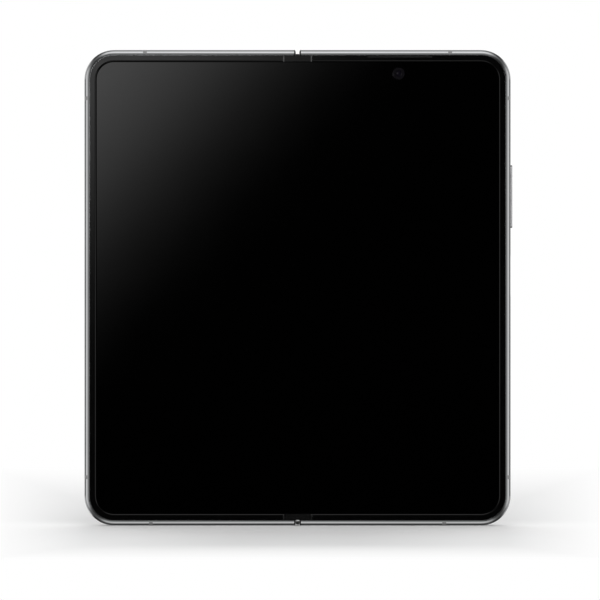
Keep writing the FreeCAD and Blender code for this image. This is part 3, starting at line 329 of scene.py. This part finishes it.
# The top cap's seam highlight is painted brighter than the bottom cap's, as more light falls from above
top_cap_black = cap_finish("top_cap_black", 0.085, (0.0, 0.006))
bottom_cap_black = cap_finish(
    "bottom_cap_black", 0.012, (0.0, 0.0075), (0.60, 0.0065), (0.65, 0.003), (0.70, 0.009), (0.80, 0.009),
    (0.85, 0.0025))
dress(top_cap_black, "top_fold_cap")
dress(bottom_cap_black, "bottom_fold_cap")


# Folding screen
# One thin glossy sheet under a hard-coated film runs across both halves, and on the phone it bends along the
# fold. It is made here in two flat pieces that meet on the fold line, each in narrow strips next to the fold.

def start_edit(made):
    bpy.context.view_layer.objects.active = made
    bpy.ops.object.mode_set(mode="EDIT")


def end_edit():
    bpy.ops.object.mode_set(mode="OBJECT")


def pick(kind, wanted):
    """In edit mode, select the faces or edges whose middle and direction answer to wanted."""
    bpy.ops.mesh.select_mode(type=kind)
    bpy.ops.mesh.select_all(action="DESELECT")
    mesh = bmesh.from_edit_mesh(bpy.context.object.data)
    for item in mesh.faces if kind == "FACE" else mesh.edges:
        middle = sum((vertex.co for vertex in item.verts), Vector()) / len(item.verts)
        way = item.normal if kind == "FACE" else (item.verts[1].co - item.verts[0].co).normalized()
        item.select_set(bool(wanted(middle, way)))
    bmesh.update_edit_mesh(bpy.context.object.data)


def settle(name):
    """Name the piece just added, and put its place in its mesh."""
    made = bpy.context.object
    made.name = name
    bpy.ops.object.transform_apply(location=True, rotation=True, scale=True)
    return made


def new_block(name, low, high):
    """A block between two corners."""
    bpy.ops.object.select_all(action="DESELECT")
    bpy.ops.mesh.primitive_cube_add(size=1, location=(low + high) / 2, scale=high - low)
    return settle(name)


def new_disc(name, radius, x, z, front, back, sides=64):
    """A round block along Y."""
    bpy.ops.object.select_all(action="DESELECT")
    bpy.ops.mesh.primitive_cylinder_add(
        vertices=sides, radius=radius, depth=back - front, location=(x, (front + back) / 2, z),
        rotation=(math.pi / 2, 0, 0))
    return settle(name)


def draw_out(x=0.0, y=0.0, z=0.0):
    bpy.ops.mesh.extrude_region_move(TRANSFORM_OT_translate={"value": (x, y, z)})


def cut_away(made, tool):
    """Cut one piece out of another, and remove the cutter."""
    cut = made.modifiers.new("cut", "BOOLEAN")
    cut.operation = "DIFFERENCE"
    cut.object = tool
    bpy.context.view_layer.objects.active = made
    bpy.ops.object.modifier_apply(modifier=cut.name)
    bpy.data.objects.remove(tool)


def smooth(made, degrees):
    """Shade a piece smooth across the edges that turn by less than the angle."""
    bpy.ops.object.select_all(action="DESELECT")
    made.select_set(True)
    bpy.context.view_layer.objects.active = made
    bpy.ops.object.shade_smooth_by_angle(angle=math.radians(degrees))


NEAR = 0.01 * MM
ALIGNED = 0.9
SCREEN_CORNER, SCREEN_CORNER_STEPS = 7.7 * MM, 14
BEND_HALF_WIDTH, BEND_STRIPS = 1.2 * MM, 12
CAP_CLEARANCE = 0.2 * MM
strip_low, strip_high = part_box("display_fold_strip")


def screen_half(name, panel, side):
    """One half of the sheet, with rounded outer corners, from its outer edge to the fold."""
    low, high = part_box(panel)
    step = side * (cap_half_width + CAP_CLEARANCE)
    outer = low.x if side < 0 else high.x
    first_x, last_x = sorted((outer, step))
    sheet = new_block(name, Vector((first_x, low.y, low.z)), Vector((last_x, high.y, high.z)))
    start_edit(sheet)
    pick("EDGE", lambda middle, way: abs(way.y) > ALIGNED and abs(middle.x - outer) < NEAR)
    bpy.ops.mesh.bevel(offset=SCREEN_CORNER, segments=SCREEN_CORNER_STEPS, affect="EDGES")
    # Beside the cap the sheet is shorter, and from there it is drawn out to the fold in strips
    pick("FACE", lambda middle, way: abs(middle.x - step) < NEAR)
    draw_out()
    shrink = (strip_high.z - strip_low.z) / (high.z - low.z)
    bpy.ops.transform.resize(value=(1, 1, shrink), center_override=(low + high) / 2)
    draw_out(x=side * BEND_HALF_WIDTH - step)
    for _ in range(BEND_STRIPS):
        draw_out(x=-side * BEND_HALF_WIDTH / BEND_STRIPS)
    end_edit()
    return sheet


screen_gloss = Finish("screen_gloss", {"IOR": 1.5})
smudge = screen_gloss.noise(22 * MM, 4.0)
film_ripple = screen_gloss.noise(30 * MM, 1.0)
screen_gloss.wear("Base Color", screen_gloss.mix(smudge, grey(0.0002), grey(0.0004)))
screen_gloss.wear("Roughness", 0.03 + smudge * 0.03)
screen_gloss.relief(film_ripple, 0.01 * MM, 0.05)
# A thin matt black band is painted along the bezel's inner edge, painted shade where the screen meets the
# bezel
BEZEL_CORNER = 6.03 * MM
EDGE_SHADE_WIDTH, EDGE_SHADE_LEVEL = 0.22 * MM, 0.0004
film_x, _, film_z = screen_gloss.axes(screen_gloss.spot)
middle_z = (cad_low.z + cad_high.z) / 2
straight_x = -cad_low.x - BEZEL_INNER - BEZEL_CORNER
straight_z = middle_z - BEZEL_INNER - BEZEL_CORNER
over_x = (film_x.magnitude() - straight_x).larger(0.0)
over_z = ((film_z - middle_z).magnitude() - straight_z).larger(0.0)
from_corner = (over_x * over_x + over_z * over_z).root()
screen_gloss.blacken(from_corner > BEZEL_CORNER - EDGE_SHADE_WIDTH, EDGE_SHADE_LEVEL)

left_screen = screen_half("left_screen", "left_display_panel", -1)
right_screen = screen_half("right_screen", "right_display_panel", 1)

# The camera looks out through a round hole in the right half
LENS_X, LENS_Z = 33.97 * MM, 152.0 * MM
LENS_HOLE = 2.05 * MM
panel_low, panel_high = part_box("right_display_panel")
hole = new_disc("camera_hole", LENS_HOLE, LENS_X, LENS_Z, panel_low.y - MM, panel_high.y + MM)
cut_away(right_screen, hole)
for sheet, half in ((left_screen, "left_half"), (right_screen, "right_half")):
    smooth(sheet, 30)
    sheet.data.materials.append(screen_gloss.material)
    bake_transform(sheet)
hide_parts("left_display_panel", "display_fold_strip")
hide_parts("right_display_panel")


# Inner camera
# A small camera sits under the screen, with a blackened stepped barrel and a domed coated lens behind the
# hole in the sheet.

HOLDER_FRONT = -1.25 * MM
HOLDER_ROUND, HOLDER_ROUND_STEPS = 0.8 * MM, 4
camera_low, camera_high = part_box("inner_camera")
holder = new_block("inner_camera_module", Vector((camera_low.x, HOLDER_FRONT, camera_low.z)), camera_high)
start_edit(holder)
pick("EDGE", lambda middle, way: abs(way.y) > ALIGNED)
bpy.ops.mesh.bevel(offset=HOLDER_ROUND, segments=HOLDER_ROUND_STEPS, affect="EDGES")
end_edit()

# From the rim in, each ring's width and how far it sinks or rises, in millimetres
BARREL_RADIUS = 2.0 * MM
BARREL_STEPS = ((0.30, 0.10), (0.40, 0.12), (0.25, 0.06))
DISH_WIDTH, DISH_SINK = 0.35, 0.009
DOME_STEPS = ((0.20, 0.0075), (0.20, 0.005), (0.20, 0.0025))
barrel = new_disc("inner_camera_barrel", BARREL_RADIUS, LENS_X, LENS_Z, camera_low.y, HOLDER_FRONT)
start_edit(barrel)
pick("FACE", lambda middle, way: way.y < -ALIGNED)
for width, sink in BARREL_STEPS:
    bpy.ops.mesh.inset(thickness=width * MM)
    draw_out(y=sink * MM)
bpy.ops.mesh.inset(thickness=DISH_WIDTH * MM)
bpy.ops.transform.translate(value=(0, DISH_SINK * MM, 0))
for width, rise in DOME_STEPS:
    bpy.ops.mesh.inset(thickness=width * MM)
    bpy.ops.transform.translate(value=(0, -rise * MM, 0))
bpy.ops.mesh.poke()
end_edit()

barrel_black = Finish("barrel_black", {"IOR": 1.45, "Specular IOR Level": 0.3})
barrel_grain = barrel_black.noise(0.1 * MM)
barrel_black.wear("Base Color", barrel_black.mix(
    barrel_grain, (0.002, 0.0016, 0.0026, 1.0), (0.004, 0.0032, 0.005, 1.0)))
barrel_black.wear("Roughness", 0.16 + barrel_grain * 0.1)
lens_coat = Finish("coated_lens", {"IOR": 1.45})
lens_round = lens_coat.round_from(LENS_X, LENS_Z)
lens_coat.wear("Base Color", lens_coat.ramp(lens_round / MM, [
    (0.0, (0.006, 0.005, 0.008, 1.0)), (0.55, (0.004, 0.0034, 0.006, 1.0)),
    (1.0, (0.003, 0.0024, 0.004, 1.0))]))
lens_coat.wear("Roughness", 0.02 + lens_coat.noise(0.5 * MM) * 0.03)
barrel.data.materials.append(barrel_black.material)
barrel.data.materials.append(lens_coat.material)
holder.data.materials.append(barrel_black.material)
LENS_GLASS = 1.05 * MM
for face in barrel.data.polygons:
    corners = [barrel.data.vertices[v].co for v in face.vertices]
    reach = max(math.hypot(corner.x - LENS_X, corner.z - LENS_Z) for corner in corners)
    face.material_index = 1 if reach < LENS_GLASS else 0
bpy.ops.object.select_all(action="DESELECT")
barrel.select_set(True)
holder.select_set(True)
bpy.context.view_layer.objects.active = holder
bpy.ops.object.join()
smooth(holder, 35)
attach(holder, "right_half")
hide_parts("inner_camera")


# Earpiece
# A woven metal mesh closes the slit in the right bezel, above the camera. It is cut to the slit and glued in
# from behind.

FULL_TURN = 2 * math.pi
mesh_metal = Finish("earpiece_mesh", {"Metallic": 0.6, "IOR": 1.5})
across, _, up = mesh_metal.axes(mesh_metal.spot)
WEAVE_PITCH, WEAVE_OPEN = 0.16 * MM, 0.15
weave = (across * (FULL_TURN / WEAVE_PITCH)).wave() * (up * (FULL_TURN / WEAVE_PITCH)).wave()
open_share = (weave > WEAVE_OPEN) * 0.7
mesh_metal.wear("Base Color", mesh_metal.mix(open_share, grey(0.05), grey(0.008)))
mesh_metal.wear("Roughness", 0.45 + open_share * 0.3)
mesh_metal.relief(weave, 0.02 * MM, 0.5)
dress(mesh_metal, "earpiece_mesh")


# Hinge
# A curved aluminium spine, brushed along its length, carries steel bases with arc rails. Screwed rotors,
# geared shafts, idlers, sliding arms and friction washers run in them.

spine_metal = metal("spine_brushed_metal", (0.74, 0.75, 0.76), 0.22, 0.15 * MM, (1.0, 1.0, 0.02))
dress(spine_metal, "spine_cover")
hinge_steel = metal("hinge_steel", (0.60, 0.61, 0.63), 0.24, 0.2 * MM, (1.0, 1.0, 0.1))
dress(hinge_steel, "hinge_bases", "left_rotors", "right_rotors", "left_wing_plate", "right_wing_plate",
      "left_sync_arms", "right_sync_arms")
gear_steel = metal("gear_ground_steel", (0.66, 0.66, 0.68), 0.18, 0.08 * MM)
dress(gear_steel, "left_sync_shafts", "right_sync_shafts", "left_idlers", "right_idlers", "torque_washers")
screw_steel = metal("screw_dark_steel", (0.35, 0.35, 0.36), 0.28, 0.08 * MM)
dress(screw_steel, "left_rotor_screws", "right_rotor_screws", "hinge_base_screws", "left_board_screws",
      "right_board_screws")


# Fold plugs
# A dark plug on each end of the spine fills the bottom of the notch between the halves. It is a slim block
# with rounded edges on the spine's end; its dark colour is painted shade for the notch, and the top plug
# matches the bottom one.

plug_shade_dark = Finish("plug_shade_dark", {"IOR": 1.45})
plug_grain = plug_shade_dark.noise(0.15 * MM)
plug_shade_dark.wear("Roughness", 0.5 + plug_grain * 0.2)
# A pale band is painted on the lower plug where it meets the spine, a painted reflection of the bright floor
PLUG_REFLECTION_LOW, PLUG_REFLECTION_HIGH, PLUG_REFLECTION_LEVEL = 1.42 * MM, 2.2 * MM, 0.95
_, _, plug_z = plug_shade_dark.axes(plug_shade_dark.spot)
plug_reflection = (plug_z > PLUG_REFLECTION_LOW) * (plug_z < PLUG_REFLECTION_HIGH)
# Painted shade: the plugs are dark to stand in for the floor's shadow seen through the bottom of the notch
plug_shade_tone = plug_shade_dark.mix(plug_grain, grey(0.02), grey(0.035))
plug_shade_dark.wear("Base Color", plug_shade_dark.mix(plug_reflection, plug_shade_tone, grey(PLUG_REFLECTION_LEVEL)))

PLUG_HALF_WIDTH, PLUG_FRONT, PLUG_BACK = 0.59 * MM, -1.9 * MM, 1.4 * MM
TOP_PLUG_DROP, BOTTOM_PLUG_RISE = 1.36 * MM, 0.35 * MM
PLUG_ROUND, PLUG_ROUND_STEPS = 0.12 * MM, 3
spine_low, spine_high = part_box("spine_cover")
plug_spans = (("top_fold_plug", spine_high.z, cad_high.z - TOP_PLUG_DROP),
              ("bottom_fold_plug", cad_low.z + BOTTOM_PLUG_RISE, spine_low.z))
for name, plug_low, plug_high in plug_spans:
    plug = new_block(name, Vector((-PLUG_HALF_WIDTH, PLUG_FRONT, plug_low)),
                     Vector((PLUG_HALF_WIDTH, PLUG_BACK, plug_high)))
    start_edit(plug)
    bpy.ops.mesh.select_all(action="SELECT")
    bpy.ops.mesh.bevel(offset=PLUG_ROUND, segments=PLUG_ROUND_STEPS, affect="EDGES")
    end_edit()
    smooth(plug, 40)
    plug.data.materials.append(plug_shade_dark.material)
    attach(plug, "spine")


# Cover screen
# A glossy black pane with rounded edges closes the back of the left half. Its screen is off, and a small
# camera looks out through it near the top.

COVER_EYE, COVER_EYE_INNER = 1.9 * MM, 1.35 * MM
cover_gloss = Finish("cover_gloss", {"IOR": 1.46})
cover_low, cover_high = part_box("cover_camera")
cover_camera = (cover_low + cover_high) / 2
from_camera = cover_gloss.round_from(cover_camera.x, cover_camera.z)
camera_disc = from_camera < COVER_EYE
camera_ring = camera_disc * (from_camera > COVER_EYE_INNER)
cover_smudge = cover_gloss.noise(18 * MM, 4.0)
cover_base = cover_gloss.mix(camera_disc, grey(0.0025), (0.004, 0.006, 0.016, 1.0))
cover_gloss.wear("Base Color", cover_gloss.mix(camera_ring, cover_base, grey(0.012)))
cover_gloss.wear("Roughness", 0.03 + cover_smudge * 0.04)
dress(cover_gloss, "cover_glass", "cover_display", "cover_camera")


# Rear glass
# The back of the right half is a pane of etched glass over a silver film, satin to the touch, with the
# fine sparkle of the film below.

rear_satin = Finish("rear_etched_glass", {"IOR": 1.5, "Coat Weight": 0.35, "Coat Roughness": 0.35})
etch = rear_satin.noise(0.09 * MM, 2.0)
pearl = rear_satin.noise(45 * MM, 2.0)
rear_satin.wear("Base Color", rear_satin.mix(pearl, (0.56, 0.57, 0.585, 1.0), (0.66, 0.665, 0.67, 1.0)))
rear_satin.wear("Metallic", 0.35 + etch * 0.2)
rear_satin.wear("Roughness", 0.34 + etch * 0.12)
rear_satin.relief(etch, 0.002 * MM, 0.3)
dress(rear_satin, "rear_glass")


# Camera island
# A milled and blasted metal island stands through the rear glass. Three rims in it hold coated lens
# windows, and a flash with a moulded diffuser sits beside the upper two.

island_metal = metal("island_satin_metal", (0.76, 0.77, 0.78), 0.42, 0.1 * MM)
dress(island_metal, "camera_island")
window_low, window_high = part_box("lens_covers")
window_radius = (window_high.x - window_low.x) / 2
window_middle = (window_low + window_high) / 2
window_heights = (window_low.z + window_radius, window_middle.z, window_high.z - window_radius)
window_glass = Finish("lens_window", {"IOR": 1.42, "Coat Weight": 0.1, "Coat Roughness": 0.02})
from_window = window_glass.round_from(window_middle.x, window_heights[0])
for height in window_heights[1:]:
    from_window = from_window.smaller(window_glass.round_from(window_middle.x, height))
lens_colours = [(0.0, (0.020, 0.024, 0.060, 1.0)), (0.26, (0.004, 0.006, 0.020, 1.0))]
lens_rings = greys((0.30, 0.060), (0.36, 0.006), (0.52, 0.030), (0.56, 0.003), (0.78, 0.003), (0.82, 0.040),
                   (0.86, 0.002), (1.0, 0.002))
window_glass.wear("Base Color", window_glass.ramp(from_window / window_radius, lens_colours + lens_rings))
window_glass.wear("Roughness", 0.02 + window_glass.noise(6 * MM) * 0.03)
dress(window_glass, "lens_covers")

FLASH_RADIUS, FLASH_RING = 1.45 * MM, 0.22 * MM
flash_low, flash_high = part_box("flash_lens")
flash_middle = (flash_low + flash_high) / 2
flash_clear = Finish("flash_diffuser", {"IOR": 1.49, "Coat Weight": 0.8, "Coat Roughness": 0.05})
flash_round = flash_clear.round_from(flash_middle.x, flash_middle.z)
rings = (flash_round * (FULL_TURN / FLASH_RING)).wave()
flash_clear.wear("Base Color", flash_clear.ramp(flash_round / FLASH_RADIUS, [
    (0.0, (0.92, 0.80, 0.36, 1.0)), (0.55, (0.93, 0.88, 0.66, 1.0)), (1.0, (0.90, 0.90, 0.88, 1.0))]))
flash_clear.wear("Roughness", 0.2 + rings * 0.06)
flash_clear.relief(rings, 0.03 * MM, 0.5)
dress(flash_clear, "flash_lens")


# Boards, shields and switches
# Dark solder mask covers the boards. Pressed steel cans shield the main board, and the card reader and the
# vibration motor's case are folded from the same sheet.

board_mask = Finish("board_solder_mask", {"IOR": 1.5})
track = board_mask.noise(1.2 * MM, 6.0, (1.0, 1.0, 0.25))
board_mask.wear("Base Color", board_mask.ramp(track, [
    (0.40, (0.010, 0.030, 0.024, 1.0)), (0.52, (0.016, 0.050, 0.038, 1.0)),
    (0.60, (0.030, 0.075, 0.055, 1.0))]))
board_mask.wear("Roughness", 0.38 + track * 0.15)
dress(board_mask, "main_board", "charging_board", "left_board", "key_switches")
sheet_steel = metal("shield_sheet_steel", (0.62, 0.62, 0.60), 0.30, 0.3 * MM, (1.0, 1.0, 0.08))
dress(sheet_steel, "shield_cans", "sim_reader", "vibration_motor")


# Batteries
# Flat cells in a black foil pouch lie in the cavities between the boards. The foil is sealed round its edges
# and a little crinkled.

foil = Finish("battery_foil", {"IOR": 1.5})
crinkle = foil.noise(3 * MM, 5.0)
foil.wear("Base Color", foil.mix(crinkle, grey(0.012), grey(0.03)))
foil.wear("Roughness", 0.35 + crinkle * 0.2)
foil.relief(crinkle, 0.05 * MM, 0.4)
dress(foil, "left_battery", "right_battery")


# Modules
# The speakers, the receiver and the camera modules have moulded black housings with a fine grain. They are
# glued into pockets of the frames.

module_black = Finish("module_black", {"IOR": 1.47})
module_grain = module_black.noise(0.3 * MM)
module_black.wear("Base Color", module_black.mix(module_grain, grey(0.014), grey(0.026)))
module_black.wear("Roughness", 0.45 + module_grain * 0.2)
module_black.relief(module_grain, 0.01 * MM, 0.4)
dress(module_black, "camera_modules", "bottom_speaker", "top_speaker", "receiver")


# Charging socket
# A drawn steel shell in the lower edge holds a black tongue with a row of gilt contacts on each face. Its
# back is soldered to the charging board.

dress(sheet_steel, "usb_shell")
CONTACT_PITCH, CONTACT_EDGE, CONTACT_START = 0.5 * MM, 0.1, 0.8 * MM
tongue_low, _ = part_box("usb_tongue")
tongue_black = Finish("tongue_black", {"IOR": 1.47})
tongue_x, _, tongue_z = tongue_black.axes(tongue_black.spot)
contact_row = (tongue_x * (FULL_TURN / CONTACT_PITCH)).wave() > CONTACT_EDGE
contact = contact_row * (tongue_z > tongue_low.z + CONTACT_START)
tongue_black.wear("Base Color", tongue_black.mix(contact, grey(0.012), (0.75, 0.52, 0.20, 1.0)))
tongue_black.wear("Metallic", contact)
tongue_black.wear("Roughness", 0.45 - contact * 0.2)
dress(tongue_black, "usb_tongue")


# Studio
# The phone stands on a pale floor under an even white dome. Shiny surfaces see a darker room with light at
# the sides, and a soft light at the upper left of the camera that grades across the screen.

PIXEL = 0.33684 * MM
CAMERA_DISTANCE = 1.3
SENSOR = 36.0
FRAME_PIXELS = 600
FOLD_PIXEL, FLOOR_PIXEL = 297.55, 525.25
camera_x = (FRAME_PIXELS / 2 - FOLD_PIXEL) * PIXEL
camera_z = (FLOOR_PIXEL - FRAME_PIXELS / 2) * PIXEL
camera_data = bpy.data.cameras.new("camera")
camera_data.sensor_width = SENSOR
camera_data.lens = SENSOR * CAMERA_DISTANCE / (FRAME_PIXELS * PIXEL)
camera_data.clip_start, camera_data.clip_end = 0.05, 50.0
camera = bpy.data.objects.new("camera", camera_data)
camera.location = (camera_x, -CAMERA_DISTANCE, camera_z)
camera.rotation_euler = (math.pi / 2, 0, 0)
bpy.context.scene.collection.objects.link(camera)
bpy.context.scene.camera = camera

FLOOR_SIZE = 12.0
bpy.ops.object.select_all(action="DESELECT")
bpy.ops.mesh.primitive_plane_add(size=FLOOR_SIZE, location=(0, 0, 0))
floor = bpy.context.object
floor.name = "floor"
floor.visible_glossy = False
floor_pale = Finish("floor_pale", {"Specular IOR Level": 0.2})
floor_cloud = floor_pale.noise(60 * MM)
floor_pale.wear("Roughness", 0.6 + floor_cloud * 0.1)
# The floor is painted a little darker before and behind the phone, as a painted shadow of the phone
FLOOR_SHADE = 0.85
across, deep, _ = floor_pale.axes(floor_pale.spot)
aside = across.magnitude()
before_fold = floor_pale.ramp(aside, greys((0.02, 1.0), (0.055, 0.0)))
before = floor_pale.ramp(-deep, greys((0.012, 0.0), (0.04, 1.0), (0.10, 1.0), (0.14, 0.0))) * before_fold
behind = floor_pale.ramp(deep, greys((0.006, 0.0), (0.03, 1.0), (0.20, 1.0), (0.45, 0.0)))
floor_plain = floor_pale.mix(floor_cloud, grey(0.93), grey(0.95))
floor_pale.wear("Base Color", floor_pale.mix(before.larger(behind), floor_plain, grey(FLOOR_SHADE)))
# Away from the phone the floor fades into the white of the studio
FADE_ASIDE, FADE_BEFORE, FADE_BEHIND = (0.070, 0.105), (0.105, 0.170), (0.12, 0.45)


def fade_between(distance, span):
    start, end = span
    return floor_pale.ramp((distance - start) / (end - start), greys((0.0, 0.0), (1.0, 1.0)))


flared = aside / (deep / CAMERA_DISTANCE + 1.0)
fade = fade_between(flared, FADE_ASIDE).larger(fade_between(-deep, FADE_BEFORE)).larger(
    fade_between(deep, FADE_BEHIND))
floor_pale.cover(fade, floor_pale.node("ShaderNodeEmission", None, {"Color": grey(1.0)}))
floor.data.materials.append(floor_pale.material)

world = bpy.data.worlds.new("studio")
world.use_nodes = True
bpy.context.scene.world = world
room = Nodes(world.node_tree)
toward = room.node("ShaderNodeTexCoord", None, None, "Generated")
right, away, above = room.axes(toward)
# Light boxes at the sides, above and below, each graded from the camera round to a ring behind the phone
to_side, to_top = right * right, above * above
around = to_side + to_top + 0.0001
behind_share = away * 0.5 + 0.5
side_box = room.ramp(behind_share, greys(
    (0.0036, 0.0), (0.008, 0.09), (0.19, 0.53), (0.37, 0.72), (0.45, 0.72), (0.58, 0.11), (0.78, 0.07),
    (0.86, 0.22), (0.93, 0.70), (0.96, 0.70), (0.983, 0.22), (1.0, 0.10)))
top_box = room.ramp(behind_share, greys(
    (0.0036, 0.0), (0.008, 0.09), (0.13, 0.36), (0.27, 1.0), (0.36, 1.0), (0.45, 0.62), (0.57, 0.32),
    (0.80, 0.15), (0.88, 0.34), (0.94, 0.80), (0.965, 0.80), (0.985, 0.25), (1.0, 0.10)))
low_box = room.ramp(behind_share, greys(
    (0.0036, 0.0), (0.008, 0.09), (0.11, 0.43), (0.16, 0.64), (0.22, 0.64), (0.38, 0.18), (0.50, 0.07),
    (0.66, 0.03), (0.82, 0.03), (0.89, 0.10), (0.94, 0.34), (0.965, 0.34), (0.985, 0.16), (1.0, 0.10)))
upright_box = room.mix(above > 0.0, low_box, top_box)
boxes_even = room.mix(to_top / around, side_box, upright_box)
# The boxes don't reach round the corners of the room
corner_level = room.ramp(to_side.larger(to_top) / around, greys(
    (0.5, 0.12), (0.68, 0.2), (0.8, 0.45), (0.9, 0.85), (1.0, 1.0)))
boxes = room.node("ShaderNodeMix", {"data_type": "RGBA", "blend_type": "MULTIPLY"},
                  {"Factor": 1.0, "A": boxes_even, "B": corner_level}, "Result")
# Light thrown back by the floor and the ceiling, which the sides show when they are seen at a slant
BOUNCE = 0.50
off_level = room.ramp(above.magnitude(), greys((0.075, 0.0), (0.13, 1.0)))
past_middle = room.ramp(behind_share, greys((0.5, 0.0), (0.72, 1.0)))
sideways = room.ramp(to_side / around, greys((0.45, 0.0), (0.65, 1.0)))
boxes = room.mix(off_level * past_middle * sideways, boxes, grey(BOUNCE))
# The soft light seen in the screen, graded along the diagonal from the upper left, in pixels of the frame
GRADE_START, GRADE_SPAN = 430, 290
GRADE_RIGHT, GRADE_ABOVE = 1.045, 0.955
IN_FRONT, EDGE_ON = 0.9, 0.02
toward_camera = (-away).larger(EDGE_ON)
slope = (right * GRADE_RIGHT - above * GRADE_ABOVE) / toward_camera * (CAMERA_DISTANCE / PIXEL)
soft_light = room.ramp((slope + GRADE_START) / GRADE_SPAN, greys(
    (0.0, 1.0), (0.30, 0.56), (0.50, 0.26), (0.65, 0.115), (0.80, 0.045), (1.0, 0.0)))
SOFT_LIGHT_ASIDE, SOFT_LIGHT_ABOVE = 0.074, 0.086
front_share = (-away > IN_FRONT) * (to_side.root() / toward_camera < SOFT_LIGHT_ASIDE) * (
    to_top.root() / toward_camera < SOFT_LIGHT_ABOVE)
SOFT_LIGHT = 1.55
soft_glow = room.mix(front_share, grey(0.0), soft_light)
seen = room.node("ShaderNodeVectorMath", {"operation": "MULTIPLY_ADD"}, {
    0: soft_glow, 1: (SOFT_LIGHT, SOFT_LIGHT, SOFT_LIGHT), 2: boxes})
# The dome lights what is matt, and the camera sees plain white
DOME = 1.2
is_camera = room.node("ShaderNodeLightPath", None, None, "Is Camera Ray")
is_diffuse = room.node("ShaderNodeLightPath", None, None, "Is Diffuse Ray")
lit = room.mix(is_diffuse, seen, grey(DOME))
backdrop = room.mix(is_camera, lit, grey(1.0))
room.feed(world.node_tree.nodes["Background"].inputs["Color"], backdrop)
bpy.context.scene.view_settings.view_transform = "Standard"
